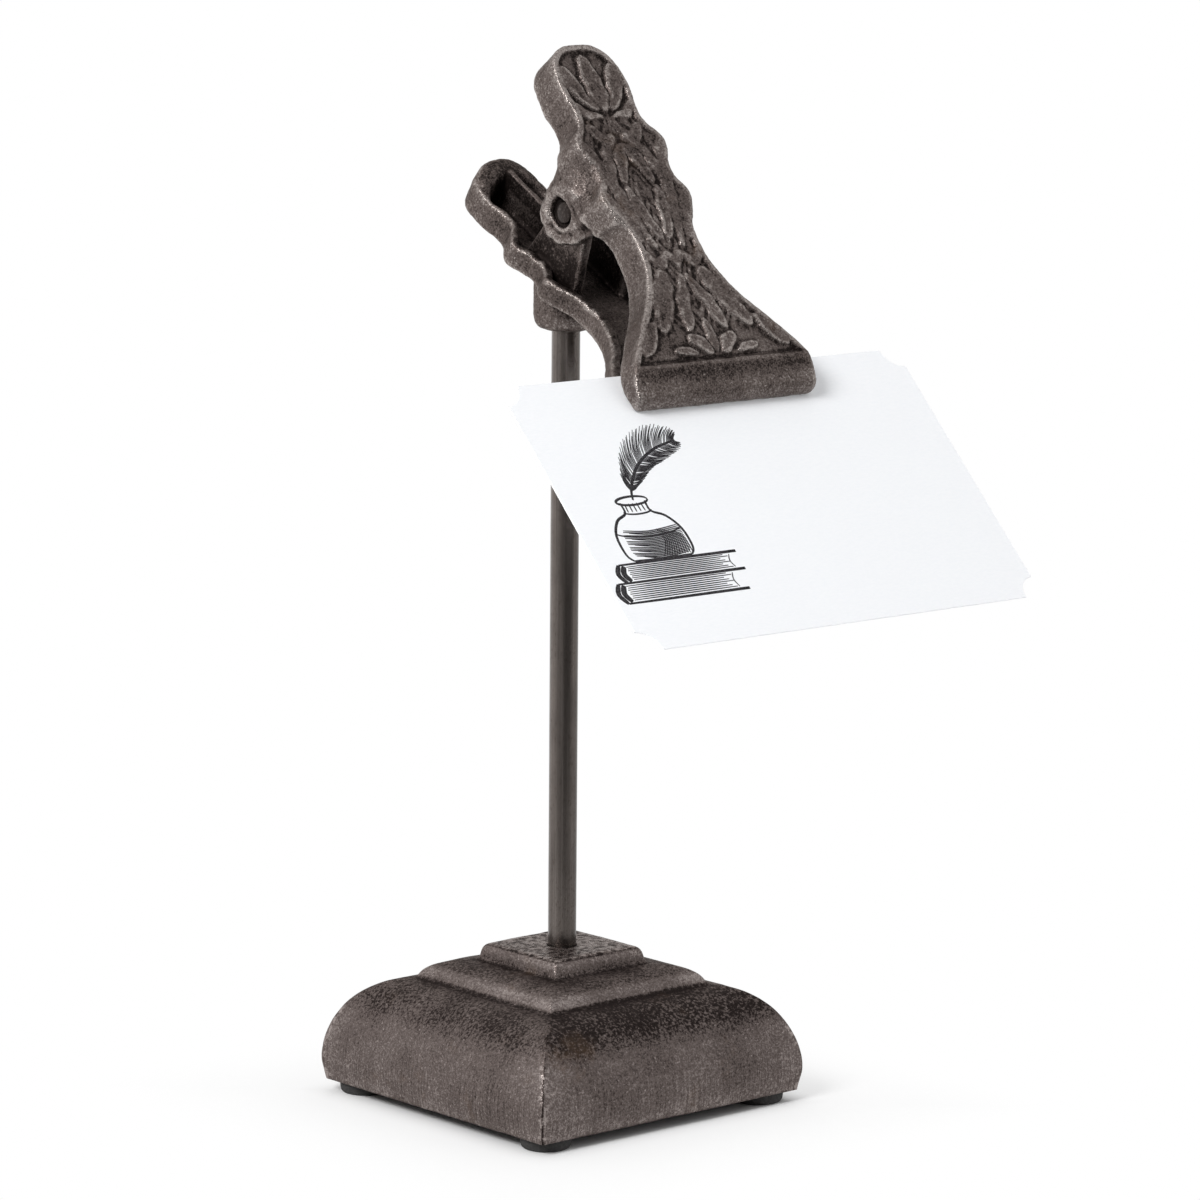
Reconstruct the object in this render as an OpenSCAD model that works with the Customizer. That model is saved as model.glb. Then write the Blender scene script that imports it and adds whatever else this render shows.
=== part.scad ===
/* [Base] */
// Side of the square base where it is widest
base_w = 85.6; // [76:0.2:110]
// Side of the middle step of the base
step_w = 51.6; // [44:0.2:60]
// Side of the flat cap that the post stands on
cap_w = 27.2; // [24:0.2:36]
// Height of the plain band below the large round
band_h = 5; // [3:0.5:9]
// Height of the large round
round_h = 21.3; // [16:0.1:30]
// Height of the small round on the middle step
step_h = 7.8; // [6:0.1:12]
// Rounding along the top edge of the cap
cap_round = 1.6; // [0.8:0.1:2.4]
// How far the band draws in towards the bottom
band_taper = 0.9; // [0:0.1:1.6]
// Thickness of the casting around the hollow underside
base_wall = 3.2; // [2.4:0.1:4]
// Radius of each round foot
foot_r = 6.2; // [5:0.1:7.5]
// Height of each foot
foot_h = 3; // [2:0.5:6]
// Distance from the widest side of the base to a foot's centre
foot_inset = 8; // [7.8:0.1:14]

/* [Post] */
// Diameter of the round post
post_d = 7; // [5:0.1:9]
// Gap around the post where it passes through a bore
post_fit = 0.03; // [0.01:0.01:0.1]
// Width of the hexagon nut across its flats
nut_flats = 13; // [11:0.5:16]
// Height of the hexagon nut
nut_h = 5.5; // [4:0.5:8]
// Diameter of the washer
washer_d = 16; // [15:0.5:20]
// Thickness of the washer
washer_t = 1.4; // [1:0.1:2]
// How far the post stands out below the nut
post_end = 1.6; // [0.5:0.1:3]

/* [Jaws] */
// Height of the jaw tips above the table
tip_z = 179.5; // [150:0.5:230]
// Distance of the jaw tips in front of the post
tip_reach = 57.3; // [50:0.1:64]
// Angle of the card below the horizontal
card_tilt = 46.5; // [42:0.1:50]
// Angle between the front leaf and the card
front_splay = 6.3; // [4:0.1:9]
// Angle between the back leaf and the card
back_splay = 16.7; // [13:0.1:20]
// Length of a leaf from tip to head
leaf_l = 98.4; // [90:0.2:110]
// Width of the jaws
jaw_w = 57; // [48:0.2:66]
// Width of the thumb plate at the head
head_w = 21.6; // [19:0.2:24]
// Width across each pair of side lobes
lobe_w = 28.2; // [26:0.2:30]
// Width of the waist below the lobes
waist_w = 19.8; // [18:0.2:22]
// Thickness of the leaf's outer plate
plate_t = 3; // [2.2:0.1:4]
// Thickness of the leaf's side walls
wall_t = 2.4; // [1.8:0.1:2.8]
// Depth of the front leaf's walls at the head
leaf_depth = 9.8; // [9:0.1:11]
// Depth of the front leaf's walls between the ears and the jaw
front_dip = 9.2; // [8:0.1:9.8]
// Depth of the back leaf's walls between the ears and the jaw
back_dip = 5.8; // [5:0.1:7]
// Depth of the back leaf's head along its rim
rim_depth = 7.6; // [7:0.1:9]
// Depth of the back leaf's head at the middle of its domed inner face
crown_depth = 11.4; // [10:0.1:12]
// Thickness of the lip at the jaw tips
lip_t = 6.3; // [5:0.1:7]
// Height of the plain bar along the jaw
bar_h = 8.8; // [8:0.2:13]
// How far the contact face reaches up inside the jaws
grip_h = 14; // [12:0.5:18]
// Width of the raised border around the leaf
border_w = 1.5; // [1:0.1:2]
// Depth of the field inside the border
field_d = 0.9; // [0.5:0.1:1.2]
// Height of the cast ornament above the field
relief_h = 0.8; // [0.4:0.1:1.2]
// How far the swelling on the outside of each front ear stands out
knuckle_h = 1.2; // [0.6:0.1:1.6]
// Thickness of the rib along the inside of each head
rib_t = 1.5; // [1:0.1:2]

/* [Pivot] */
// Distance from the jaw tips up to the pivot, measured along the card
pivot_run = 61.4; // [57:0.1:65]
// How far the pivot lies behind the plane of the card
pivot_back = 2.2; // [0:0.1:4]
// Diameter of the pivot pin
pin_d = 4; // [3:0.1:5]
// Gap around the pin in its bores
pin_fit = 0.05; // [0.02:0.01:0.1]
// Diameter of the riveted ends of the pin
rivet_d = 6.4; // [5.8:0.1:7.4]
// Height of the riveted ends of the pin
rivet_h = 0.9; // [0.5:0.1:1.2]
// Distance between the inner faces of the back leaf's ears
ear_gap = 12.6; // [12:0.1:14]
// Thickness of each back ear
back_ear_t = 3; // [2.4:0.1:3.4]
// Radius of each back ear around the pin
back_ear_r = 5.5; // [4.6:0.1:5.8]
// Thickness of each front ear
front_ear_t = 3.8; // [3:0.1:5]
// Radius of each front ear around the pin
front_ear_r = 7.2; // [6:0.1:8]
// Side gap between a front ear and the back ear beside it
ear_play = 0.35; // [0.2:0.05:0.6]

/* [Spring] */
// Diameter of the spring wire
wire_d = 1.3; // [1:0.1:1.5]
// Radius of the coil at the middle of the wire
coil_r = 3.5; // [3.2:0.1:4]
// Whole turns of the coil
coil_turns = 4; // [3:1:5]
// Distance from one turn to the next
coil_pitch = 1.9; // [1.8:0.05:2.1]
// Distance of the spring's feet from the jaw tips
spring_reach = 83; // [78:0.5:86]
// Gap between a spring foot and the plate that it presses on
spring_seat = 0.3; // [0.1:0.05:0.5]

/* [Card] */
// Width of the card
card_w = 127; // [80:1:150]
// Height of the card
card_h = 75; // [50:1:110]
// Thickness of the card
card_t = 0.4; // [0.2:0.05:1]
// Gap between the card and each jaw
card_fit = 0.05; // [0.02:0.01:0.2]
// How far the card reaches up between the jaws
card_in = 11; // [6:0.5:12]
// Radius of the notch cut from each corner of the card
notch_r = 5.4; // [2:0.1:10]

/* [Hidden] */
$fn = 64;
iron = "#4b4543";
steel = "#7d7873";
rubber = "#262423";
paper = "#dfe3ea";

// Overlap that lets one cut run cleanly past another
over = 1;
arc_steps = 12;
base_h = band_h + round_h + step_h + cap_round;
base_top = foot_h + base_h;
foot_at = base_w / 2 - foot_inset;
hub_r = 9.5;
hub_h = 11;
nut_top = base_top - hub_h - washer_t;
post_bottom = nut_top - nut_h - post_end;
// Small step in the outline below each round of the base
ledge = 0.4;
// Width of the flat that each foot sits on, beyond the foot
foot_margin = 0.6;

front_tilt = card_tilt + front_splay;
back_tilt = card_tilt - back_splay;
jaw_seat = card_t / 2 + card_fit;

// Place of the pivot in a leaf's own frame, from the leaf's splay and the side that it lies on
function pivot_in(splay, side) = [
    pivot_run * cos(splay) - side * pivot_back * sin(splay),
    -lip_t - jaw_seat / cos(splay) - pivot_run * sin(splay) - side * pivot_back * cos(splay)
];
front_pivot = pivot_in(front_splay, 1);
back_pivot = pivot_in(back_splay, -1);
pivot_y = -tip_reach + pivot_run * cos(card_tilt) + pivot_back * sin(card_tilt);
pivot_z = tip_z + pivot_run * sin(card_tilt) - pivot_back * cos(card_tilt);

// Height at which the post's axis meets the outer face of the back leaf
leaf_at_post = tip_z - (lip_t + jaw_seat / cos(back_splay)) / cos(back_tilt) + tip_reach * tan(back_tilt);
boss_r = 7.9;
boss_bottom = leaf_at_post - 12.6;
boss_round = 2;
socket_top = leaf_at_post - 1.5;

// Cubic curve through a list of points
function blend(a, b, c, d, t) =
    (2 * b + (c - a) * t + (2 * a - 5 * b + 4 * c - d) * t * t + (3 * b - a - 3 * c + d) * t * t * t) / 2;
function through(p, steps) = [
    for (i = [0:len(p) - 2]) for (k = [0:steps - 1])
        blend(p[max(i - 1, 0)], p[i], p[i + 1], p[min(i + 2, len(p) - 1)], k / steps),
    p[len(p) - 1]
];

// Right-hand edge of a leaf, from the jaw corner up to the middle of the head
jaw_x = jaw_w / 2;
lobe_x = lobe_w / 2;
waist_x = waist_w / 2;
head_x = head_w / 2;
function share(y) = y * leaf_l;
leaf_edge = through([
    [jaw_x - 2.2, 0],
    [jaw_x - 0.5, 0.6],
    [jaw_x, 2.4],
    [jaw_x - 0.1, 6],
    [jaw_x - 1.1, share(0.094)],
    [jaw_x - 2.9, share(0.126)],
    [jaw_x - 8.7, share(0.203)],
    [waist_x + 3.9, share(0.284)],
    [waist_x + 0.7, share(0.36)],
    [waist_x, share(0.415)],
    [waist_x + 0.5, share(0.47)],
    [lobe_x - 0.6, share(0.532)],
    [lobe_x, share(0.567)],
    [lobe_x - 2.3, share(0.605)],
    [lobe_x - 2.5, share(0.645)],
    [lobe_x - 0.2, share(0.7)],
    [lobe_x - 0.8, share(0.73)],
    [head_x - 0.1, share(0.769)],
    [head_x - 0.8, share(0.806)],
    [head_x - 0.1, share(0.855)],
    [head_x, share(0.895)],
    [head_x - 1, share(0.945)],
    [head_x - 3.1, share(0.976)],
    [head_x - 6.4, share(0.996)],
    [0, leaf_l]
], 3);
function mirrored(p) = [for (i = [len(p) - 2:-1:0]) [-p[i][0], p[i][1]]];
leaf_outline = concat(leaf_edge, mirrored(leaf_edge));

// The same outline drawn in by a distance, square to the edge
function drawn_in(p, d) = [
    for (i = [0:len(p) - 1])
        let (a = p[(i + len(p) - 1) % len(p)], b = p[(i + 1) % len(p)], t = (b - a) / norm(b - a))
            p[i] + d * [-t[1], t[0]]
];

// Quarter round from the foot of a tier up to its top, drawn in by a wall
function tier(out, in, low, high, wall) = [
    for (i = [0:arc_steps])
        let (a = 90 * i / arc_steps)
            [in + (out - in - wall) * cos(a), low + (high - low - wall) * sin(a)]
];
band_top = foot_h + band_h;
round_top = band_top + round_h;
step_top = round_top + step_h;
function base_side(wall) = concat(
    [[base_w / 2 - band_taper - wall, foot_h - (wall > 0 ? over : 0)]],
    tier(base_w / 2, step_w / 2 + ledge, band_top, round_top, wall),
    tier(step_w / 2, cap_w / 2 + cap_round, round_top - wall, step_top, wall)
);
function cap_side() = tier(cap_w / 2 + cap_round - ledge, cap_w / 2 - ledge, step_top, base_top, 0);

module both_sides(p) {
    polygon(concat(p, [for (i = [len(p) - 1:-1:0]) [-p[i][0], p[i][1]]]));
}

// Square block whose four sides follow one moulded outline and meet in mitred corners
module moulded_block(p) {
    intersection() {
        rotate([90, 0, 0])
            linear_extrude(base_w + 2 * over, center = true) both_sides(p);
        rotate([90, 0, 90])
            linear_extrude(base_w + 2 * over, center = true) both_sides(p);
    }
}

module base_casting() {
    color(iron)
    difference() {
        union() {
            difference() {
                moulded_block(concat(base_side(0), cap_side()));
                moulded_block(base_side(base_wall));
            }
            intersection() {
                moulded_block(base_side(0));
                for (x = [-1, 1]) for (y = [-1, 1])
                    translate([x * foot_at, y * foot_at, foot_h])
                        cylinder(r = foot_r + foot_margin, h = round_h);
            }
            translate([0, 0, base_top - hub_h])
                cylinder(r = hub_r, h = hub_h - over);
        }
        translate([0, 0, base_top - hub_h - over])
            cylinder(d = post_d + 2 * post_fit, h = hub_h + 2 * over);
    }
}

module foot(x, y) {
    color(rubber)
    translate([x * foot_at, y * foot_at, 0])
        rotate_extrude()
            polygon([[0, 0], [foot_r - 0.8, 0], [foot_r - 0.2, 0.5], [foot_r, foot_h], [0, foot_h]]);
}
module foot_front_left() { foot(-1, -1); }
module foot_front_right() { foot(1, -1); }
module foot_back_left() { foot(-1, 1); }
module foot_back_right() { foot(1, 1); }

module post() {
    color(steel)
    translate([0, 0, post_bottom])
        cylinder(d = post_d, h = socket_top - 0.3 - post_bottom);
}

module ring(outer_d, height, at_z) {
    translate([0, 0, at_z])
        difference() {
            cylinder(d = outer_d, h = height);
            translate([0, 0, -over])
                cylinder(d = post_d + 2 * post_fit, h = height + 2 * over);
        }
}

module base_washer() {
    color(steel) ring(washer_d, washer_t, nut_top);
}

module base_nut() {
    color(steel)
    difference() {
        translate([0, 0, nut_top - nut_h])
            cylinder(d = nut_flats / cos(30), h = nut_h, $fn = 6);
        translate([0, 0, nut_top - nut_h - over])
            cylinder(d = post_d + 2 * post_fit, h = nut_h + 2 * over);
    }
}

// Almond lobe lying in the field, pointed at both ends
module almond(x, y, turn, long, wide) {
    r = (long * long / 4 + wide * wide / 4) / wide;
    translate([x, y, -field_d - over])
        rotate([0, 0, turn])
            linear_extrude(over + relief_h)
                intersection() {
                    translate([r - wide / 2, 0]) circle(r);
                    translate([wide / 2 - r, 0]) circle(r);
                }
}

// Curved stem: the part of a ring between two heights
module stem(x, y, radius, wide, low, high) {
    translate([0, 0, -field_d - over])
        linear_extrude(over + relief_h)
            intersection() {
                translate([x, y])
                    difference() {
                        circle(radius + wide / 2);
                        circle(radius - wide / 2);
                    }
                translate([x < 0 ? 0 : -radius, low])
                    square([radius, high - low]);
            }
}

// Chevron across the leaf with its point downwards
module chevron(y, half_w, rise, thick) {
    translate([0, y, -field_d - over])
        linear_extrude(over + relief_h)
            polygon([[0, 0], [half_w, rise], [half_w, rise + thick], [0, thick * 1.6],
                [-half_w, rise + thick], [-half_w, rise]]);
}

module scroll(x, y, r) {
    translate([x, y, -field_d - over])
        linear_extrude(over + relief_h)
            difference() {
                circle(r);
                circle(r - 0.9);
            }
}

module ornament() {
    almond(0, share(0.885), 0, 14, 4);
    almond(0, share(0.585), 0, 9, 2.6);
    for (side = [-1, 1]) {
        almond(side * 3.8, share(0.87), -side * 30, 13, 3.6);
        almond(side * 5.4, share(0.825), -side * 62, 9, 3.2);
        almond(side * 5.8, share(0.747), side * 40, 6.5, 2.6);
        almond(side * 2.5, share(0.66), side * 10, 12, 3.2);
        almond(side * 2.6, share(0.51), -side * 18, 15, 3);
        almond(side * (lobe_x - 4), share(0.675), side * 8, 9, 2.4);
        almond(side * (lobe_x - 4.2), share(0.5), -side * 16, 9, 2.4);
        stem(-side * 17, share(0.585), 25, 2.4, share(0.44), share(0.725));
        almond(side * 3.5, share(0.245), side * 12, 14, 3);
        almond(side * 9.3, share(0.255), side * 27, 15, 4.2);
        almond(side * 15, share(0.19), side * 52, 11, 2.6);
        for (k = [0:2])
            scroll(side * (3.4 + 6.6 * k), bar_h + 3.4, 1.7);
    }
    chevron(share(0.355), 6.4, 3.4, 1.8);
    chevron(share(0.79), 6, 2.6, 1.3);
}

// Outline of the leaf seen from its side: plate, rounded lip, contact face and the back of the walls
lip_round = 4.6;
function lip_arc() = [
    for (a = [0:15:60])
        [lip_round * (1 - cos(a)), -lip_t + lip_round * sin(a)]
];
module leaf_block(wall_back) {
    intersection() {
        translate([0, 0, -leaf_depth - over])
            linear_extrude(leaf_depth + over) polygon(leaf_outline);
        rotate([90, 0, 90])
            linear_extrude(jaw_w + 2 * over, center = true)
                polygon(concat(lip_arc(), [[bar_h, 0], [leaf_l + over, 0]], wall_back));
    }
}

// Raised border with its sunk field, the groove above the bar and the hollow behind the plate
bar_edge = 0.9;
full_depth = max(leaf_depth, crown_depth) + over;
module leaf_cuts(hollow_end) {
    translate([0, 0, -field_d])
        linear_extrude(field_d + over)
            intersection() {
                polygon(drawn_in(leaf_outline, border_w));
                translate([-jaw_w, bar_h + bar_edge]) square([2 * jaw_w, leaf_l]);
            }
    translate([0, 0, -full_depth])
        linear_extrude(full_depth - plate_t)
            intersection() {
                polygon(drawn_in(leaf_outline, wall_t));
                union() {
                    translate([-jaw_w, grip_h]) square([2 * jaw_w, hollow_end - head_x - grip_h]);
                    translate([0, hollow_end - head_x]) circle(head_x);
                }
            }
}

// Thick end of the back leaf's head, domed across its inner face
crown_inset = 0.4;
crown_rise = crown_depth - rim_depth + crown_inset;
crown_r = (head_x * head_x + crown_rise * crown_rise) / (2 * crown_rise);
crown_low = share(0.715);
crown_end = share(0.935);
module crown() {
    intersection() {
        translate([0, 0, -full_depth])
            linear_extrude(full_depth - plate_t / 2)
                intersection() {
                    polygon(leaf_outline);
                    translate([-jaw_w, crown_low]) square([2 * jaw_w, leaf_l]);
                }
        translate([0, 0, crown_r - crown_depth])
            rotate([90, 0, 0])
                cylinder(r = crown_r, h = 4 * leaf_l, center = true);
    }
}

// Half-length of the web that carries an ear, and of the space between the pivot and the rib
front_web = 12;
back_web = 11;
rib_clear = 9;

// Ear outline in the leaf's side view: a disc about the pivot on a web from the plate
module ear_shape(pivot, r, spread, depth) {
    translate(pivot) circle(r);
    polygon([
        [pivot[0] - spread, -plate_t / 2],
        [pivot[0] - spread * 0.9, -depth],
        [pivot[0] - r * 0.94, pivot[1] - r * 0.34],
        [pivot[0] + r * 0.94, pivot[1] - r * 0.34],
        [pivot[0] + spread * 0.9, -depth],
        [pivot[0] + spread, -plate_t / 2]
    ]);
}

module ears(pivot, r, spread, depth, inner_x, thick) {
    for (side = [-1, 1])
        translate([side * (inner_x + thick / 2), 0, 0])
            rotate([90, 0, 90])
                linear_extrude(thick, center = true) ear_shape(pivot, r, spread, depth);
}

// Rounded swelling around the pivot on the outside of each front ear
knuckle_round = 2.2;
module knuckles() {
    for (side = [-1, 1])
        translate([side * (front_ear_out - knuckle_h), front_pivot[0], front_pivot[1]])
            rotate([0, side * 90, 0])
                rotate_extrude()
                    polygon(concat(
                        [[0, -over], [front_ear_r, -over]],
                        [for (a = [0:15:90])
                            [front_ear_r - knuckle_round * (1 - cos(a)), knuckle_h * sin(a)]],
                        [[0, knuckle_h]]
                    ));
}

module rib(low, high, depth) {
    translate([-rib_t / 2, low, -depth])
        cube([rib_t, high - low, depth - plate_t / 2]);
}

module pin_bore(pivot, half_l) {
    translate([0, pivot[0], pivot[1]])
        rotate([0, 90, 0])
            cylinder(d = pin_d + 2 * pin_fit, h = 2 * half_l, center = true);
}

back_ear_x = ear_gap / 2;
front_ear_x = back_ear_x + back_ear_t + ear_play;
front_ear_out = front_ear_x + front_ear_t;
recess_d = 1.3;

module place_front() {
    translate([0, -tip_reach, tip_z])
        rotate([front_tilt, 0, 0])
            translate([0, 0, lip_t + jaw_seat / cos(front_splay)]) children();
}
module place_back() {
    translate([0, -tip_reach, tip_z])
        rotate([back_tilt, 0, 0])
            mirror([0, 0, 1])
                translate([0, 0, lip_t + jaw_seat / cos(back_splay)]) children();
}

function seat_line(splay, y) = -lip_t - y * tan(splay);

module front_jaw() {
    // Height at which the contact face meets the back of the walls
    meet = (front_dip - lip_t) / tan(front_splay);
    color(iron)
    place_front()
        difference() {
            union() {
                difference() {
                    leaf_block([
                        [leaf_l + over, -leaf_depth],
                        [share(0.79), -leaf_depth],
                        [share(0.74), -front_dip],
                        [meet, seat_line(front_splay, meet)]
                    ]);
                    leaf_cuts(leaf_l + head_x);
                }
                ornament();
                rib(front_pivot[0] + rib_clear, leaf_l - wall_t, leaf_depth);
                ears(front_pivot, front_ear_r, front_web, front_dip - 1, front_ear_x,
                    front_ear_t - knuckle_h);
                knuckles();
            }
            pin_bore(front_pivot, front_ear_out + over);
            for (side = [-1, 1])
                translate([side * (front_ear_out - (recess_d - over) / 2), front_pivot[0], front_pivot[1]])
                    rotate([0, 90, 0])
                        cylinder(d = rivet_d + 0.6, h = recess_d + over, center = true);
        }
}

module boss() {
    rotate_extrude()
        polygon(concat(
            [[0, boss_bottom], [boss_r - boss_round, boss_bottom]],
            [for (i = [1:6])
                let (a = 15 * i)
                    [boss_r - boss_round * (1 - sin(a)), boss_bottom + boss_round * (1 - cos(a))]],
            [[boss_r, leaf_at_post + boss_r], [0, leaf_at_post + boss_r]]
        ));
}

module back_jaw() {
    // Height at which the contact face meets the shallow part of the walls
    meet = 9;
    color(iron)
    difference() {
        union() {
            place_back()
                difference() {
                    union() {
                        leaf_block([
                            [leaf_l + over, -rim_depth],
                            [share(0.78), -rim_depth],
                            [share(0.7), -back_dip],
                            [share(0.19), -back_dip],
                            [meet, seat_line(back_splay, meet)]
                        ]);
                        crown();
                    }
                    leaf_cuts(crown_end);
                }
            place_back() rib(back_pivot[0] + rib_clear, crown_end + over, crown_depth - crown_inset);
            place_back() ears(back_pivot, back_ear_r, back_web, back_dip, back_ear_x, back_ear_t);
            difference() {
                boss();
                place_back()
                    translate([-jaw_w, 0, -leaf_depth * 3])
                        cube([2 * jaw_w, leaf_l, leaf_depth * 3 - plate_t + 0.5]);
            }
        }
        translate([0, 0, boss_bottom - over])
            cylinder(d = post_d + 2 * post_fit, h = socket_top - boss_bottom + over);
        place_back() pin_bore(back_pivot, back_ear_x + back_ear_t + over);
    }
}

module pivot_pin() {
    half = front_ear_out - recess_d + 0.1;
    color(steel)
    translate([0, pivot_y, pivot_z])
        rotate([0, 90, 0]) {
            cylinder(d = pin_d, h = 2 * half, center = true);
            for (side = [-1, 1])
                translate([0, 0, side * (half + rivet_h / 2)])
                    cylinder(d = rivet_d, h = rivet_h, center = true);
        }
}

// The spring lies in the plane across the pin: first number forwards, second number up
wire_r = wire_d / 2;
function turned(p, a) = [p[0] * cos(a) - p[1] * sin(a), p[0] * sin(a) + p[1] * cos(a)];
// Point on a leaf given by its height up the leaf and its depth, seen from the pivot
function front_point(y, z) = turned([-(y - front_pivot[0]), z - front_pivot[1]], -front_tilt);
function back_point(y, z) = turned([-(y - back_pivot[0]), -(z - back_pivot[1])], -back_tilt);
foot_run = 2.2;
back_foot = back_point(spring_reach, -plate_t - spring_seat);
back_knee = back_point(spring_reach, -plate_t - spring_seat - foot_run);
front_foot = front_point(spring_reach, -plate_t - spring_seat);
front_knee = front_point(spring_reach, -plate_t - spring_seat - foot_run);
function bearing(p) = atan2(p[1], p[0]);
coil_start = bearing(back_knee) + acos(coil_r / norm(back_knee));
coil_stop = bearing(front_knee) - acos(coil_r / norm(front_knee));
coil_sweep = 360 * coil_turns + ((coil_stop - coil_start) % 360 + 360) % 360;
coil_steps = ceil(coil_sweep / 45);
coil_len = coil_pitch * coil_sweep / 360;
function coil_point(i) =
    let (a = coil_start + coil_sweep * i / coil_steps)
        [coil_r * cos(a), coil_r * sin(a), coil_len * (0.5 - i / coil_steps)];
function at_x(p, x) = [p[0], p[1], x];
spring_path = concat(
    [at_x(back_foot, coil_len / 2), at_x(back_knee, coil_len / 2)],
    [for (i = [0:coil_steps]) coil_point(i)],
    [at_x(front_knee, -coil_len / 2), at_x(front_foot, -coil_len / 2)]
);

function unit(v) = v / norm(v);
function heading(p, i) = unit(p[min(i + 1, len(p) - 1)] - p[max(i - 1, 0)]);
function square_to(v, t) = unit(v - (v * t) * t);
// Side direction carried along the wire so that the tube doesn't twist
function carried(p) = [
    for (i = 0, s = square_to([0, 0, 1], heading(p, 0)); i < len(p);
        i = i + 1, s = square_to(s, heading(p, min(i, len(p) - 1)))) s
];
// Bends are widened so that the wire keeps its thickness through them
function bend(p, i) = (i == 0 || i == len(p) - 1) ? 1 :
    1 / sqrt((1 + unit(p[i + 1] - p[i]) * unit(p[i] - p[i - 1])) / 2);
module wire(p, r, sides) {
    s = carried(p);
    points = [
        for (i = [0:len(p) - 1]) for (k = [0:sides - 1])
            let (t = heading(p, i), u = cross(t, s[i]), a = 360 * k / sides)
                p[i] + r * (cos(a) * s[i] + sin(a) * u)
    ];
    walls = [
        for (i = [0:len(p) - 2]) for (k = [0:sides - 1])
            let (a = i * sides + k, b = i * sides + (k + 1) % sides)
                each [[a, b, b + sides], [a, b + sides, a + sides]]
    ];
    last = (len(p) - 1) * sides;
    ends = [
        for (k = [1:sides - 2]) each [[0, k + 1, k], [last, last + k, last + k + 1]]
    ];
    polyhedron(points = points, faces = concat(walls, ends));
}

// Least gap between turns that aren't neighbours along the wire
coil_points = [for (i = [0:coil_steps]) coil_point(i)];
spring_gap = min([
    for (i = [0:len(coil_points) - 7]) for (j = [i + 6:len(coil_points) - 1])
        norm(coil_points[i] - coil_points[j])
]) - wire_d;
echo(spring_least_gap_mm = spring_gap);

module torsion_spring() {
    color(steel)
    translate([0, pivot_y, pivot_z])
        multmatrix([[0, 0, 1, 0], [-1, 0, 0, 0], [0, 1, 0, 0]])
            wire(spring_path, wire_r, 6);
}

module memo_card() {
    color(paper)
    translate([0, -tip_reach, tip_z])
        rotate([card_tilt, 0, 0])
            difference() {
                translate([-card_w / 2, card_in - card_h, -card_t / 2])
                    cube([card_w, card_h, card_t]);
                for (x = [-1, 1]) for (y = [card_in, card_in - card_h])
                    translate([x * card_w / 2, y, 0])
                        cylinder(r = notch_r, h = card_t + 2 * over, center = true);
            }
}

base_casting();
foot_front_left();
foot_front_right();
foot_back_left();
foot_back_right();
post();
base_washer();
base_nut();
back_jaw();
front_jaw();
pivot_pin();
torsion_spring();
memo_card();
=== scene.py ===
import math
from functools import reduce

import bpy
import numpy as np
from mathutils import Matrix, Vector, noise


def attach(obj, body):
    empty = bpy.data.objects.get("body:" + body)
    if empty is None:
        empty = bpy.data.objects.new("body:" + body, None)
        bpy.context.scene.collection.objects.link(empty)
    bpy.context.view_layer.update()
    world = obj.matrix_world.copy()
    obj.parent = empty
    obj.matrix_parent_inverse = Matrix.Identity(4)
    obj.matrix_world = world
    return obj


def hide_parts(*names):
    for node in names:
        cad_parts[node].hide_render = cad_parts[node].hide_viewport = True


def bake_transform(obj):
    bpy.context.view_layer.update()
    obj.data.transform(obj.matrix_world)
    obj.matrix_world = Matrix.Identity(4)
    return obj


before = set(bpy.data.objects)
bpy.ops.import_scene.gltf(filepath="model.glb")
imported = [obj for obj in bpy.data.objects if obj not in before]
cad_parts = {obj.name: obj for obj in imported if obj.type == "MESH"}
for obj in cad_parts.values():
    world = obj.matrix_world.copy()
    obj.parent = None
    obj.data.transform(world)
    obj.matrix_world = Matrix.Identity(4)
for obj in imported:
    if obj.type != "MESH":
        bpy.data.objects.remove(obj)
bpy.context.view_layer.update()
scene = bpy.context.scene

# Sizes are in millimetres, as in the CAD source, and become metres where a mesh is made
MM = 0.001

# Base, with the widths of its square steps
BASE_W, STEP_W, CAP_W = 85.6, 51.6, 27.2
FOOT_R, FOOT_H, FOOT_AT = 6.2, 3.0, 34.8
BAND_TOP, ROUND_TOP, STEP_TOP, BASE_TOP = 8.0, 29.3, 37.1, 38.7
BAND_TAPER, CAP_ROUND, LEDGE, BASE_WALL = 0.9, 1.6, 0.4, 3.2
HUB_R, HUB_LOW = 9.5, 27.7
CAP_FLANK, STEP_INSIDE = 2.7, 35.4
FEET = {"front_left": (-1, -1), "front_right": (1, -1), "back_left": (-1, 1), "back_right": (1, 1)}

# Post, nut and washer
POST_R, POST_LOW, POST_HIGH = 3.5, 19.2, 202.95
NUT_FLATS, NUT_LOW, NUT_HIGH = 13.0, 20.8, 26.3
WASHER_R, WASHER_HIGH = 8.0, 27.7

# Leaves of the clip: widths are half widths, depths run inwards from the outer face
TIP_Z, TIP_REACH, CARD_TILT = 179.5, 57.3, 46.5
FRONT_SPLAY, BACK_SPLAY, SEAT = 6.3, 16.7, 0.25
LEAF_L, JAW_X, HEAD_X, LOBE_X, WAIST_X = 98.4, 28.5, 10.8, 14.1, 9.9
PLATE_T, WALL_T, LEAF_DEPTH, FRONT_DIP, BACK_DIP, LIP_T = 3.0, 2.4, 9.8, 9.2, 5.8, 6.3
RIM_DEPTH, CROWN_DEPTH, CROWN_INSET = 7.6, 11.4, 0.4
BAR_H, GRIP_H, BORDER_W, FIELD_D, RIB_T, LIP_ROUND = 8.8, 14.0, 1.5, 0.9, 1.5, 4.6
BAR_ROUND, GROOVE_AT, GROOVE_HALF, GROOVE_D = 2.2, 1.3, 0.6, 0.6
INLINE_AT, INLINE_HALF, INLINE_H, INLINE_LOW = 3.1, 0.5, 0.6, 13
LEAF_STEP, BEYOND = 0.37, 5

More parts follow.
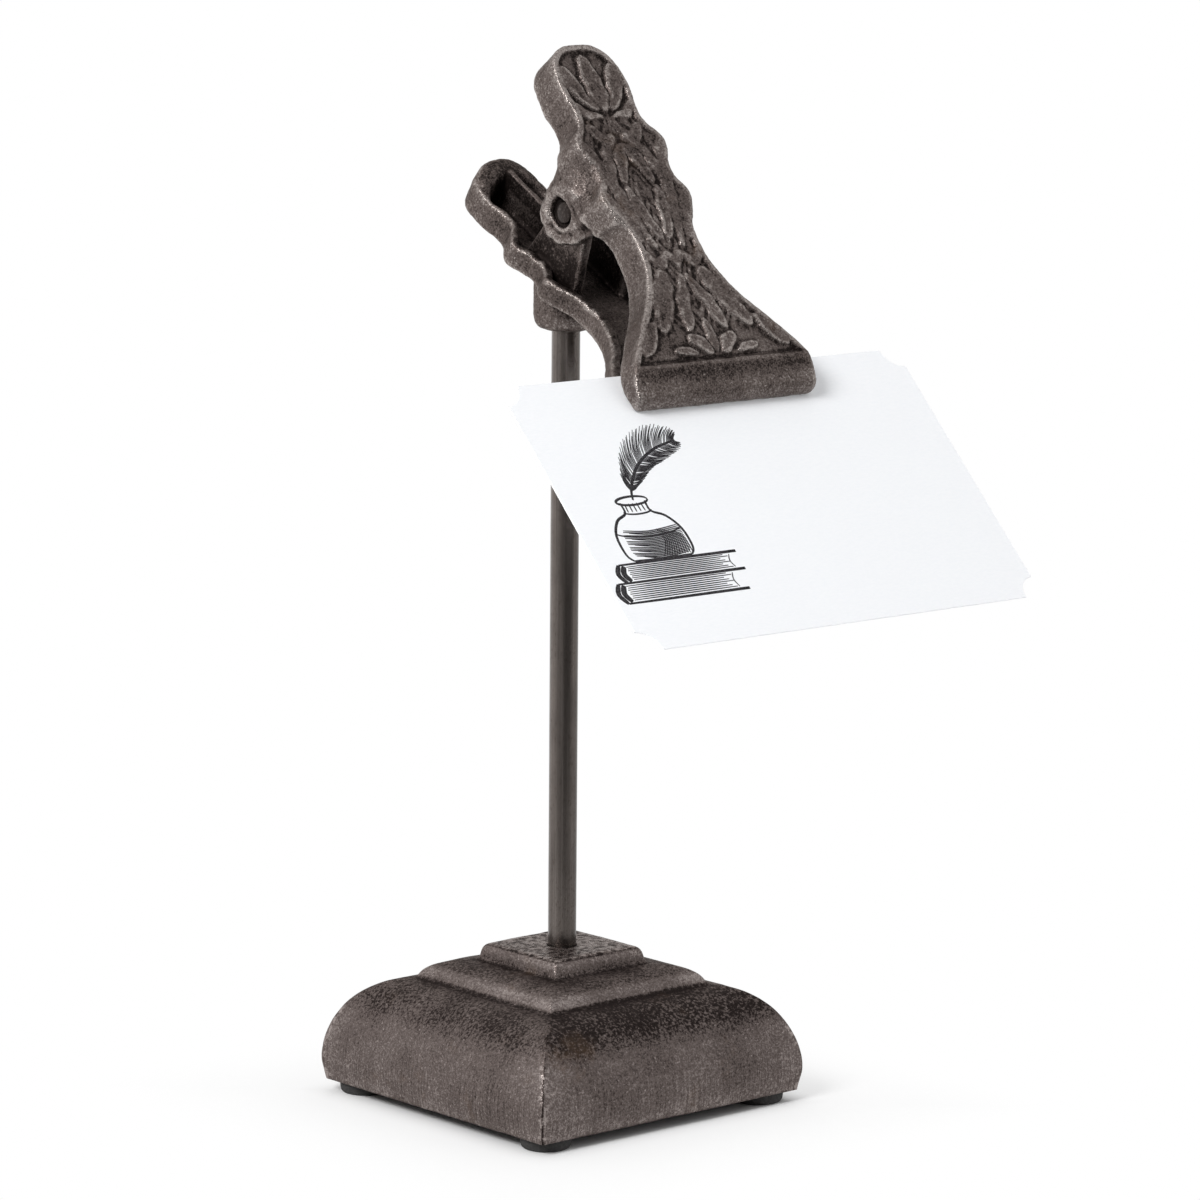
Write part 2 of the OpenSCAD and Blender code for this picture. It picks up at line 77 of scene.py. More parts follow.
# Unevenness of the castings: (grain, height) of layers of noise, and waves in a leaf's walls
BASE_GRIT = [(9.0, 0.16), (2.6, 0.05)]
WALL_WAVE, END_WAVE = 0.28, 0.5
LEAF_GRIT = [(6.0, 0.14), (2.1, 0.1), (0.9, 0.06)]
EAR_LUMPS = [(4.4, 1.2), (2.1, 0.35)]

# Ears and pin: a pivot's place in each leaf's side view; an ear's inner and outer face, radius and foot
PIVOT = (0.0, -13.44, 222.52)
FRONT_PIVOT, BACK_PIVOT = (60.79, -15.48), (59.44, -22.10)
PIN_R, RIVET_R, RIVET_H = 2.0, 3.2, 0.9
BACK_EAR = (6.3, 9.3, 5.5, 11.0)
FRONT_EAR = (9.65, 13.45, 7.2, 12.0)
RECESS_D, RIB_CLEAR, KNUCKLE_H = 1.3, 9.0, 1.2
BULGE_AT, BULGE_R = (8.0, 2.2, 5.0), (7.0, 7.6, 7.2)
BOSS_R, BOSS_LOW, BOSS_ROUND, SOCKET_TOP = 7.9, 192.15, 2.0, 203.25

# Spring
WIRE_R, COIL_R, COIL_TURNS, COIL_PITCH = 0.65, 3.5, 4, 1.9
SPRING_REACH, SPRING_SEAT, FOOT_RUN = 83.0, 0.3, 2.2

# Card, with the corner where the drawing starts
CARD_W, CARD_H, CARD_T, CARD_IN, NOTCH_R = 127.0, 75.0, 0.4, 11.0, 5.4
CARD_EDGE, DRAWING_AT, INK_LIFT, INK_LAYER = 0.05, (-43.5, -51.0), 0.012, 0.00004


# Camera

def add_camera():
    """Camera solved from the base's corners, the upright post and the card's corners."""
    azimuth, elevation, roll = math.radians(-41.2), math.radians(9.38), math.radians(0.43)
    distance, aside, height = 1328.0, 8.8, 125.4
    back = Vector((math.sin(azimuth) * math.cos(elevation), -math.cos(azimuth) * math.cos(elevation),
                   math.sin(elevation)))
    right = Vector((math.cos(azimuth), math.sin(azimuth), 0))
    up = back.cross(right)
    turned_right = right * math.cos(roll) + up * math.sin(roll)
    turned_up = up * math.cos(roll) - right * math.sin(roll)
    data = bpy.data.cameras.new("camera")
    data.sensor_width = 36
    data.lens = 162
    data.clip_start = 0.05
    data.clip_end = 30
    camera = bpy.data.objects.new("camera", data)
    scene.collection.objects.link(camera)
    place = (right * aside + Vector((0, 0, height)) + back * distance) * MM
    turn = Matrix((turned_right, turned_up, back)).transposed().to_4x4()
    camera.matrix_world = Matrix.Translation(place) @ turn
    scene.camera = camera


# Node trees

class Nodes:
    """A node tree with short calls for the nodes used here."""

    def __init__(self, tree, output, coordinates):
        self.tree = tree
        tree.nodes.clear()
        self.out = tree.nodes.new(output)
        self.where = tree.nodes.new("ShaderNodeTexCoord").outputs[coordinates]

    def put(self, socket, value):
        if isinstance(value, bpy.types.NodeSocket):
            self.tree.links.new(value, socket)
        else:
            socket.default_value = value

    def node(self, kind, settings=None, **inputs):
        made = self.tree.nodes.new(kind)
        for key, value in (settings or {}).items():
            setattr(made, key, value)
        for key, value in inputs.items():
            self.put(made.inputs[key.replace("_", " ")], value)
        return made

    def noise(self, scale, detail=3.0, roughness=0.5, where=None):
        """Noise whose grain is 1/scale metres."""
        return self.node("ShaderNodeTexNoise", Vector=where or self.where, Scale=scale,
                         Detail=detail, Roughness=roughness).outputs["Fac"]

    def stretched(self, x, y, z):
        """The object's coordinates with each axis scaled."""
        return self.node("ShaderNodeMapping", Vector=self.where, Scale=(x, y, z)).outputs["Vector"]

    def parts(self, vector):
        return self.node("ShaderNodeSeparateXYZ", Vector=vector).outputs

    def normal(self):
        return self.parts(self.node("ShaderNodeNewGeometry").outputs["Normal"])

    def towards(self, direction):
        """How far the coordinates lie in a direction."""
        made = self.node("ShaderNodeVectorMath", {"operation": "DOT_PRODUCT"}, Vector=self.where)
        self.put(made.inputs[1], direction)
        return made.outputs["Value"]

    def ramp(self, value, low, high, out_low=0.0, out_high=1.0, shape="SMOOTHSTEP"):
        """From out_low where the value is low to out_high where it is high."""
        made = self.node("ShaderNodeMapRange", {"interpolation_type": shape})
        for key, number in (("Value", value), ("From Min", low), ("From Max", high),
                            ("To Min", out_low), ("To Max", out_high)):
            self.put(made.inputs[key], number)
        return made.outputs["Result"]

    def band(self, level, low, full, end, high, tone=1.0):
        """The tone between the heights full and end, fading out to low and high."""
        rising = self.ramp(level, low * MM, full * MM)
        return self.product(rising, self.ramp(level, high * MM, end * MM, 0, tone))

    def math(self, kind, a, b=0.0):
        made = self.node("ShaderNodeMath", {"operation": kind})
        self.put(made.inputs[0], a)
        self.put(made.inputs[1], b)
        return made.outputs[0]

    def chain(self, kind, values):
        return reduce(lambda a, b: self.math(kind, a, b), values)

    def total(self, *values):
        return self.chain("ADD", values)

    def product(self, *values):
        return self.chain("MULTIPLY", values)

    def largest(self, *values):
        return self.chain("MAXIMUM", values)

    def size(self, value):
        return self.math("ABSOLUTE", value)

    def finish(self, shader):
        self.tree.links.new(shader, self.out.inputs["Surface"])


class Shader(Nodes):
    """The node tree of a new material."""

    def __init__(self, name):
        self.material = bpy.data.materials.new(name)
        self.material.use_nodes = True
        super().__init__(self.material.node_tree, "ShaderNodeOutputMaterial", "Object")

    def mix(self, factor, a, b):
        made = self.node("ShaderNodeMix", {"data_type": "RGBA"})
        for index, value in ((0, factor), (6, a), (7, b)):
            if isinstance(value, tuple):
                value = (*value, 1.0)
            self.put(made.inputs[index], value)
        return made.outputs[2]

    def attribute(self, name):
        return self.node("ShaderNodeAttribute", {"attribute_name": name}).outputs["Fac"]

    def bump(self, height, distance, strength=1.0, below=None):
        made = self.node("ShaderNodeBump", Height=height, Distance=distance, Strength=strength)
        if below is not None:
            self.put(made.inputs["Normal"], below)
        return made.outputs["Normal"]

    def surface(self, **inputs):
        self.finish(self.node("ShaderNodeBsdfPrincipled", None, **inputs).outputs["BSDF"])
        return self.material


# Materials: tones of iron run from 0, dark, over 0.5 to 1.25, light

EDGE_TINT = (0.45, 0.42, 0.4, 1.0)
RUST = (0.14, 0.09, 0.058)
# How far grain, rubbed edges with their painted highlight, and the painted shade of close hollows and wide
# hollows shift the tone
BASE_WEAR_AND_SHADE, LEAF_WEAR_AND_SHADE = (0.17, 0.5, -0.15, -0.1), (0.21, 0.36, -0.4, -0.2)


def iron(name, mid, dark, light, striped=False):
    """Cast iron: sand grain, patina and painted shade in hollows, bands of painted shade and light on the
    base, rubbed edges with a painted highlight, broad swells lightened as painted light, bright specks and
    a trace of rust.
    """
    s = Shader(name)
    relief, cavity, patina_and_shade = s.attribute("relief"), s.attribute("cavity"), s.attribute("patina_and_shade")
    fine, sand, cloud = s.noise(2300, 2, 0.7), s.noise(1150, 3, 0.6), s.noise(70, 4, 0.6)
    speck = s.ramp(s.noise(1700, 1, 0.5), 0.66, 0.74, 0, 0.5)
    grain, worn, hollow, wide_shade = BASE_WEAR_AND_SHADE if striped else LEAF_WEAR_AND_SHADE
    # Raised edges lighter: rubbed wear with a painted highlight
    rubbed = s.ramp(relief, 0.03, 0.16, 0, worn)
    if striped:
        place, level, on_x = base_place(s)
        chipped = s.ramp(s.noise(260, 3, 0.7), 0.5, 0.66)
        rubbed = s.product(rubbed, chipped, s.ramp(level, 0.024, 0.016, 0.2, 0.7))
    # Darker with the leaves' patina and painted shade
    tone = s.total(0.5, rubbed, speck, s.product(patina_and_shade, -0.6),
                   s.ramp(fine, 0.3, 0.7, -grain, grain),
                   s.ramp(sand, 0.3, 0.7, -0.16, 0.16),
                   s.ramp(cloud, 0.3, 0.7, -0.14, 0.14),
                   # Broad swells lighter as painted light; close hollows and wide hollows darker as
                   # painted shade
                   s.ramp(cavity, 0.04, 0.4, 0, 0.15),
                   s.ramp(relief, -0.02, -0.12, 0, hollow),
                   s.ramp(cavity, -0.05, -0.5, 0, wide_shade))
    normal = s.bump(s.total(s.product(fine, 0.7), sand), 0.00028, 0.6)
    gloss = 0.0
    if striped:
        strip, low = drawn_marks(s, place, level, on_x)
        tone = s.total(tone, s.product(low, s.ramp(strip, 0.32, 0.68, -0.16, 0.16)),
                       base_painted_light_and_shade(s, level, on_x), mitre_chips(s, place, level))
        normal = s.bump(s.product(strip, low), 0.00016, 0.6, normal)
        gloss = s.ramp(level, 0.0383, 0.0386, 0.0, -0.12)
    colour = s.mix(s.ramp(tone, -0.1, 0.5), dark, mid)
    colour = s.mix(s.ramp(tone, 0.5, 1.25), colour, light)
    colour = s.mix(s.ramp(s.noise(45, 5, 0.7), 0.58, 0.72, 0, 0.3), colour, RUST)
    rough = s.total(gloss, s.ramp(tone, 0.0, 1.1, 0.5, 0.27))
    return s.surface(Base_Color=colour, Roughness=rough, Metallic=0.75, Specular_Tint=EDGE_TINT,
                     Normal=normal)


def base_place(s):
    """The point's coordinates, its height, and 1 on the faces that look along X."""
    place, face = s.parts(s.where), s.normal()
    return place, place["Z"], s.math("GREATER_THAN", s.size(face["X"]), s.size(face["Y"]))


def drawn_marks(s, place, level, on_x):
    """Upright marks on the lower faces of the base, and how strong they are at each height."""
    along = s.total(s.product(place["Y"], on_x), s.product(place["X"], s.math("SUBTRACT", 1.0, on_x)))
    lines = s.node("ShaderNodeCombineXYZ", X=s.product(along, 2600), Y=s.product(on_x, 40),
                   Z=s.product(level, 30)).outputs["Vector"]
    return s.noise(1.0, 2, 0.6, lines), s.ramp(level, 0.020, 0.007)


def base_painted_light_and_shade(s, level, on_x):
    """Painted shade in mottled bands on the shoulder and in the cove under the cap, a band of painted
    light on the step, a painted dark line along the cap's edge, and random blots on the cap's top; heights
    in mm.
    """
    mottle = s.ramp(s.noise(1300, 2, 0.6), 0.4, 0.62, 1.5, 0.35)
    # Painted shade on the shoulder, stronger on the faces that look along Y
    shoulder = s.product(s.band(level, 18.5, 26.5, 29.4, 30.4), s.ramp(on_x, 0.0, 1.0, -0.62, -0.34))
    cove = s.band(level, 31.6, 33.0, 34.2, 35.0, -0.32)
    # Painted light on the step
    step_painted_light = s.band(level, 29.9, 30.6, 32.2, 33.2, 0.15)
    # Painted shade along the cap's top edge, where its flank turns from flat
    edge = s.product(s.ramp(level, 0.0379, 0.0383), s.ramp(s.normal()["Z"], 0.97, 0.88, 0, -0.55))
    blots = s.product(s.ramp(level, 0.0381, 0.0385), s.ramp(s.noise(620, 3, 0.6), 0.36, 0.6, -0.66, 0.5))
    return s.total(s.product(mottle, s.total(shoulder, cove)), edge, blots, step_painted_light)


def mitre_chips(s, place, level):
    """A dark line down each lower mitre with rubbed chips beside it."""
    aside = s.size(s.math("SUBTRACT", s.size(place["X"]), s.size(place["Y"])))
    line = s.ramp(aside, 0.0005, 0.0002, 0, -0.7)
    chips = s.product(s.ramp(aside, 0.0022, 0.0008), s.ramp(s.noise(520, 3, 0.7), 0.5, 0.6, 0, 0.9))
    return s.product(s.ramp(level, 0.0235, 0.0195), s.total(line, chips))


def drawn_steel(name, mid, dark, light, rough, along=True):
    """Aged steel with marks along its length."""
    s = Shader(name)
    marks = s.noise(1.0, 3, 0.6, s.stretched(1400, 1400, 14 if along else 1400))
    cloud = s.noise(60, 4, 0.6)
    grain = s.noise(1600, 3, 0.6)
    colour = s.mix(s.ramp(cloud, 0.35, 0.7), mid, tuple(0.75 * c for c in mid))
    colour = s.mix(s.ramp(marks, 0.5, 0.72, 0, 0.5), colour, light)
    colour = s.mix(s.ramp(grain, 0.45, 0.3, 0, 0.7), colour, dark)
    normal = s.bump(s.total(marks, s.product(grain, 0.5)), 0.00006, 0.7)
    return s.surface(Base_Color=colour, Roughness=s.ramp(cloud, 0.2, 0.8, rough - 0.06, rough + 0.1),
                     Metallic=0.9, Normal=normal)


def rubber():
    s = Shader("foot_rubber")
    grain = s.noise(1800, 3, 0.6)
    colour = s.mix(s.ramp(grain, 0.3, 0.7), (0.016, 0.015, 0.015), (0.034, 0.032, 0.031))
    return s.surface(Base_Color=colour, Roughness=0.8, Normal=s.bump(grain, 0.00008, 0.5))


def card_paper():
    s = Shader("card_stock")
    fibre = s.noise(1.0, 4, 0.6, s.stretched(700, 2300, 2300))
    cloud = s.noise(300, 3, 0.5)
    colour = s.mix(s.ramp(fibre, 0.3, 0.7), (0.925, 0.94, 0.965), (0.955, 0.965, 0.985))
    normal = s.bump(s.total(fibre, cloud), 0.00003, 0.5)
    return s.surface(Base_Color=colour, Roughness=0.85, Specular_IOR_Level=0.2, Normal=normal)


def ink():
    s = Shader("ink")
    spread = s.noise(2600, 3, 0.6)
    colour = s.mix(s.ramp(spread, 0.35, 0.75), (0.012, 0.011, 0.013), (0.07, 0.066, 0.072))
    return s.surface(Base_Color=colour, Roughness=0.75, Specular_IOR_Level=0.2,
                     Normal=s.bump(spread, 0.00001, 0.3))


# Helpers for numbers

def rise(value, low, high):
    """0 where the value is low, 1 where it is high, straight between; low may be the larger."""
    return np.clip((value - low) / (high - low), 0, 1)


def polar(radius, degrees):
    return radius * math.cos(math.radians(degrees)), radius * math.sin(math.radians(degrees))


def turned(p, degrees):
    c, s = polar(1, degrees)
    return np.array([p[0] * c - p[1] * s, p[0] * s + p[1] * c])


def unit(v):
    return v / np.linalg.norm(v)


def in_row(along, out, tilt):
    """From the side view of a leaf or the card to y and z of the row frame."""
    y, z = turned((along, out), tilt)
    return y - TIP_REACH, z + TIP_Z


def from_pivot(y, z, pivot):
    return np.hypot(y - pivot[0], z - pivot[1])


def noise_at(places):
    return np.array([noise.noise(place) for place in places.tolist()])


def bezier(a, b, c, t):
    return (1 - t) ** 2 * a + 2 * t * (1 - t) * b + t * t * c


def tube_faces(rings, count, closed=False):
    """Quads between rings of points that follow one another."""
    i, k = np.meshgrid(np.arange(rings if closed else rings - 1), np.arange(count), indexing="ij")
    j, m = (i + 1) % rings, (k + 1) % count
    return np.stack([i * count + k, i * count + m, j * count + m, j * count + k], -1).reshape(-1, 4)


def capped_faces(rings, count):
    """The same with both ends closed."""
    ends = [list(range(count))[::-1], list(range((rings - 1) * count, rings * count))]
    return tube_faces(rings, count).tolist() + ends


# Sampled solids: a field is a distance in millimetres, negative inside

def over(a, b, width):
    """The larger of two fields, with the edge between them rounded: where both solids are."""
    near = np.maximum(width - np.abs(a - b), 0)
    return np.maximum(a, b) + near * near / (4 * width)


def join(a, b, width):
    """The smaller of two fields, with a fillet between them: where either solid is."""
    return -over(-a, -b, width)


def smooth_curve(points, steps=8):
    """Cubic curve through the points."""
    p = np.array(points, float)
    out = []
    for i in range(len(p) - 1):
        a, b, c, d = p[max(i - 1, 0)], p[i], p[i + 1], p[min(i + 2, len(p) - 1)]
        for k in range(steps):
            t = k / steps
            out.append((2 * b + (c - a) * t + (2 * a - 5 * b + 4 * c - d) * t * t
                        + (3 * b - a - 3 * c + d) * t ** 3) / 2)
    out.append(p[-1])
    return np.array(out)


def outline_field(u, v, points):
    """Distance to a closed outline over a grid, negative inside."""
    best = np.full(u.shape, 1e9)
    inside = np.zeros(u.shape, bool)
    for a, b in zip(points, np.roll(points, -1, 0)):
        e = b - a
        if not e.any():
            continue
        wu, wv = u - a[0], v - a[1]
        t = np.clip((wu * e[0] + wv * e[1]) / (e @ e), 0, 1)
        best = np.minimum(best, (wu - t * e[0]) ** 2 + (wv - t * e[1]) ** 2)
        if e[1]:
            inside ^= ((a[1] > v) != (b[1] > v)) & (wu < e[0] * wv / e[1])
    return np.where(inside, -1, 1) * np.sqrt(best)


def skin(field, low, step):
    """Points and quads of the closed surface where a sampled field crosses zero."""
    inside = field < 0
    n = [s - 1 for s in field.shape]
    offsets = [(i, j, k) for i in (0, 1) for j in (0, 1) for k in (0, 1)]
    count = np.zeros(n, np.int8)
    for i, j, k in offsets:
        count += inside[i:i + n[0], j:j + n[1], k:k + n[2]]
    mixed = (count > 0) & (count < 8)
    cells = np.argwhere(mixed)
    index = np.full(n, -1, np.int32)
    index[mixed] = np.arange(len(cells))
    total, hits = np.zeros((len(cells), 3)), np.zeros(len(cells))
    for corner in offsets:
        a = field[tuple((cells + corner).T)]
        for axis in range(3):
            if corner[axis]:
                continue
            other = np.array(corner)
            other[axis] = 1
            b = field[tuple((cells + other).T)]
            hit = (a < 0) != (b < 0)
            place = np.tile(np.array(corner, float), (hit.sum(), 1))
            place[:, axis] = a[hit] / (a[hit] - b[hit])
            total[hit] += place
            hits[hit] += 1
    points = np.array(low) + step * (cells + total / hits[:, None])
    quads = []
    for axis in range(3):
        u, v = (axis + 1) % 3, (axis + 2) % 3
        first, second = [slice(1, -1)] * 3, [slice(1, -1)] * 3
        first[axis], second[axis] = slice(0, -1), slice(1, None)
        a, b = inside[tuple(first)], inside[tuple(second)]
        for flip, change in ((False, a & ~b), (True, b & ~a)):
            edge = np.argwhere(change) + 1
            edge[:, axis] -= 1
            step_u, step_v = np.zeros(3, int), np.zeros(3, int)
            step_u[u], step_v[v] = 1, 1
            around = [edge - step_u - step_v, edge - step_v, edge, edge - step_u]
            quad = np.stack([index[tuple(c.T)] for c in around], 1)
            quads.append(quad[:, ::-1] if flip else quad)
    return points, np.concatenate(quads)


# Meshes

def make_mesh(name, points, faces, smooth=True):
    """An object from points in millimetres, in the row frame."""
    mesh = bpy.data.meshes.new(name)
    mesh.from_pydata((np.asarray(points) * MM).tolist(), [],
                     faces.tolist() if isinstance(faces, np.ndarray) else faces)
    mesh.validate()
    mesh.update()
    mesh.polygons.foreach_set("use_smooth", np.full(len(mesh.polygons), smooth))
    obj = bpy.data.objects.new(name, mesh)
    scene.collection.objects.link(obj)
    return obj


def normals_of(points, quads):
    """Normal at each point, from the quads around it."""
    across = np.cross(points[quads[:, 2]] - points[quads[:, 0]], points[quads[:, 3]] - points[quads[:, 1]])
    total = np.zeros_like(points)
    for corner in range(4):
        for axis in range(3):
            total[:, axis] += np.bincount(quads[:, corner], across[:, axis], len(points))
    return total / np.maximum(np.linalg.norm(total, axis=1), 1e-9)[:, None]


def eased(values, quads, rounds):
    """Values averaged over neighbouring points, several times."""
    a, b = quads.ravel(), quads[:, [1, 2, 3, 0]].ravel()
    size = len(values)
    number = np.maximum(np.bincount(a, minlength=size), 1)
    for _ in range(rounds):
        values = np.stack([np.bincount(a, values[b, i], size) / number
                           for i in range(values.shape[1])], 1)
    return values


def roughened(points, quads, layers, where=1.0):
    """Points moved along their normals by layers of noise: (grain in mm, height in mm)."""
    normals = normals_of(points, quads)
    shift = np.zeros(len(points))
    for grain, height in layers:
        shift += height * noise_at(points / grain + 31.7)
    return points + normals * (shift * where)[:, None]


def add_attribute(obj, name, values):
    """Numbers on the points of a mesh, for its material."""
    attribute = obj.data.attributes.new(name, "FLOAT", "POINT")
    attribute.data.foreach_set("value", values.astype(np.float32))


def add_relief(obj, points, quads, near, wide):
    """Keeps how far each point stands out of the surface close by and further around it."""
    normals = normals_of(points, quads)
    close = eased(points, quads, near)
    away = ((points - close) * normals).sum(1)
    add_attribute(obj, "relief", eased(away[:, None], quads, 1)[:, 0])
    far = eased(close, quads, wide)
    add_attribute(obj, "cavity", eased(((points - far) * normals).sum(1)[:, None], quads, 2)[:, 0])


def finish_piece(obj, body, slot, material, *nodes):
    """Gives a piece its material, the body it rides on and the CAD nodes it stands for."""
    obj.data.materials.clear()
    obj.data.materials.append(material)
    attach(obj, body)
    if nodes:
        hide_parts(*nodes)


# Leaves

def share(y):
    return y * LEAF_L


def leaf_outline():
    """The leaf from the front: a wide jaw, a waist, two pairs of lobes and a round head."""
    edge = [(JAW_X - 2.2, 0), (JAW_X - 0.5, 0.6), (JAW_X, 2.4), (JAW_X - 0.1, 6)]
    edge += [(out, share(part)) for out, part in (
        (JAW_X - 1.1, 0.094), (JAW_X - 2.9, 0.126), (JAW_X - 8.7, 0.203), (WAIST_X + 3.9, 0.284),
        (WAIST_X + 0.7, 0.36), (WAIST_X, 0.415), (WAIST_X + 0.5, 0.47), (LOBE_X - 0.6, 0.532),
        (LOBE_X, 0.567), (LOBE_X - 2.3, 0.605), (LOBE_X - 2.5, 0.645), (LOBE_X - 0.2, 0.7),
        (LOBE_X - 0.8, 0.73), (HEAD_X - 0.1, 0.769), (HEAD_X - 0.8, 0.806), (HEAD_X - 0.1, 0.855),
        (HEAD_X, 0.895), (HEAD_X - 1, 0.945), (HEAD_X - 3.1, 0.976), (HEAD_X - 6.4, 0.996), (0, 1.0))]
    edge = smooth_curve(edge)
    return np.concatenate([edge, edge[-2::-1] * [-1, 1]])


# Cast ornament on the right half: path, width, height and section, mirrored to the left
PETAL, RIBBON = "petal", "ribbon"
ORNAMENT = [
    ([(0, 80.2), (0, 86), (0, 94.8)], 5.2, 0.95, PETAL),
    ([(2.6, 80.2), (5.6, 84.4), (7.2, 88.6), (7.5, 92.6)], 4.2, 0.95, PETAL),
    ([(2.6, 78.0), (5.8, 78.4), (8.8, 81.6)], 2.6, 0.85, RIBBON),
    ([(8.4, 75.2), (6.0, 73.2), (3.2, 70.6)], 3.4, 0.85, PETAL),
    ([(2.6, 72.0), (6.7, 65.2), (8.2, 57.6), (7.2, 50.2), (4.4, 41.2)], 3.5, 0.95, RIBBON),
    ([(0.6, 70.0), (2.8, 65), (4.5, 59.2)], 3.4, 0.9, PETAL),
    ([(4.7, 57.6), (3.8, 51.2), (0.5, 42.8)], 3.6, 0.95, PETAL),
    ([(11.4, 70.2), (10.5, 65.8), (10.0, 60.4)], 3.0, 0.8, RIBBON),
    ([(12.2, 55.4), (10.6, 50.2), (8.0, 43.2)], 3.2, 0.8, RIBBON),
    ([(0, 35.4), (2.8, 37.6), (5.2, 36.0), (7.8, 39.2)], 2.8, 0.85, RIBBON),
    ([(1.1, 32.4), (3.5, 25.2), (6.4, 17.4)], 4.2, 0.95, PETAL),
    ([(6.4, 33.8), (9.8, 26.4), (14.2, 17.8)], 5.8, 0.95, PETAL),
    ([(0, 20.2), (0, 16.2), (0, 11.4)], 3.2, 0.85, PETAL),
    ([(2.4, 11.2), (4.2, 13.4), (7.2, 15.6)], 3.2, 0.85, PETAL),
    ([(6.6, 11.0), (9.4, 12.4), (12.8, 12.6)], 2.6, 0.8, PETAL),
    ([(15.6, 20.2), (18.9, 15.9), (23.2, 11.4)], 3.2, 0.9, PETAL),
]


def stroke_height(x, y, path, width, height, section):
    """Height over a grid of one stroke that tapers to both ends."""
    line = smooth_curve(path, 6)
    along = np.linspace(0, 1, len(line))
    least = np.full(x.shape, 1e9)
    for a, b, s, t in zip(line, line[1:], along, along[1:]):
        e = b - a
        k = np.clip(((x - a[0]) * e[0] + (y - a[1]) * e[1]) / (e @ e), 0, 1)
        away = np.hypot(x - a[0] - k * e[0], y - a[1] - k * e[1])
        place = s + k * (t - s)
        if section == PETAL:
            half = width * 0.56 * (0.22 + 0.78 * np.sin(math.pi * place) ** 0.8)
        else:
            half = width * 0.56 * (0.6 + 0.4 * np.sin(math.pi * place))
        least = np.minimum(least, away / half)
    if section == PETAL:
        dish = 0.74 + 0.26 * rise(least, 0.08, 0.63) ** 1.5
        return height * dish * np.sqrt(np.clip(1.2 - least ** 5, 0, 1))
    return height * np.clip(1.12 - least ** 4, 0, 1) ** 0.6


def flat_noise(x, y, grain, layer):
    """Noise over a grid of places."""
    places = np.stack([x / grain, y / grain, np.full(x.shape, layer)], -1)
    return noise_at(places.reshape(-1, 3)).reshape(x.shape)


def half_ornament(x, y):
    """The strokes' height, bent and worn a little as in a casting, with veins between them."""
    bend_x, bend_y = flat_noise(x, y, 4.0, 6.4), flat_noise(x, y, 4.0, 16.7)
    total = np.zeros(x.shape)
    for stroke in ORNAMENT:
        total = np.maximum(total, stroke_height(x + 1.1 * bend_x, y + 1.1 * bend_y, *stroke))
    lean = np.interp(y, (40, 44), (-0.42, 0.34))
    across = x + lean * (y - 40) + 1.6 * bend_x
    veins = 0.42 * (0.5 + 0.5 * np.cos(2 * math.pi * across / 2.1)) * rise(y, 15, 21) * (y < 78)
    return np.maximum(total, veins) * (0.95 + 0.35 * flat_noise(x, y, 2.2, 8.0))


def ear_field(y, z, pivot, radius, spread, depth):
    """An ear in the side view: a disc round the pin and the web below it."""
    disc = from_pivot(y, z, pivot) - radius
    web = outline_field(y, z, np.array([
        (pivot[0] - spread, -PLATE_T / 2), (pivot[0] - spread * 0.9, -depth),
        (pivot[0] - radius * 0.94, pivot[1] - radius * 0.34),
        (pivot[0] + radius * 0.94, pivot[1] - radius * 0.34),
        (pivot[0] + spread * 0.9, -depth), (pivot[0] + spread, -PLATE_T / 2)]))
    return join(disc, web, 1.2)


def worn_line(points, height, seed):
    """A line in the side view made uneven, as a cast rim is."""
    p = resampled(points, 0.8)
    waves = [noise.noise((a / 2.6, seed, 0.0)) + 0.5 * noise.noise((a / 1.1, seed, 3.0)) for a in p[:, 0]]
    inside = rise(p[:, 0], 16, 21) * rise(p[:, 0], LEAF_L - 4, LEAF_L - 8)
    p[:, 1] += height * np.array(waves) * inside
    return [tuple(q) for q in p]


def seat_line(splay, y):
    """Height of the face that lies on the card, in the leaf's side view."""
    return -LIP_T - y * math.tan(math.radians(splay))


def wall_line(front):
    """The free edge of the side walls in the side view, from the head down to the jaw."""
    if front:
        meet = (FRONT_DIP - LIP_T) / math.tan(math.radians(FRONT_SPLAY))
        line = [(LEAF_L + BEYOND, -LEAF_DEPTH), (share(0.79), -LEAF_DEPTH), (share(0.74), -FRONT_DIP),
                (meet, seat_line(FRONT_SPLAY, meet))]
        return worn_line(line, 0.2, 2.0)
    line = [(LEAF_L + BEYOND, -RIM_DEPTH), (share(0.78), -RIM_DEPTH), (share(0.7), -BACK_DIP),
            (share(0.19), -BACK_DIP), (9, seat_line(BACK_SPLAY, 9))]
    return worn_line(line, 0.5, 7.0)


class Grid:
    """Sample places of half a leaf: x across, y up from the tip, z out of its outer face."""

    def __init__(self, front):
        low_z, high_z = (-24.0, 1.7) if front else (-29.0, 16.5)
        self.x = LEAF_STEP * np.arange(int(JAW_X / LEAF_STEP) + 4)
        self.y = np.arange(-2 * LEAF_STEP, LEAF_L + 3 * LEAF_STEP, LEAF_STEP)
        self.z = np.arange(low_z, high_z, LEAF_STEP)
        self.flat_x, self.flat_y = np.meshgrid(self.x, self.y, indexing="ij")
        self.side_y, self.side_z = np.meshgrid(self.y, self.z, indexing="ij")
        self.deep_x, self.deep_z = self.x[:, None, None], self.z[None, None]
        self.outline = outline_field(self.flat_x, self.flat_y, leaf_outline())


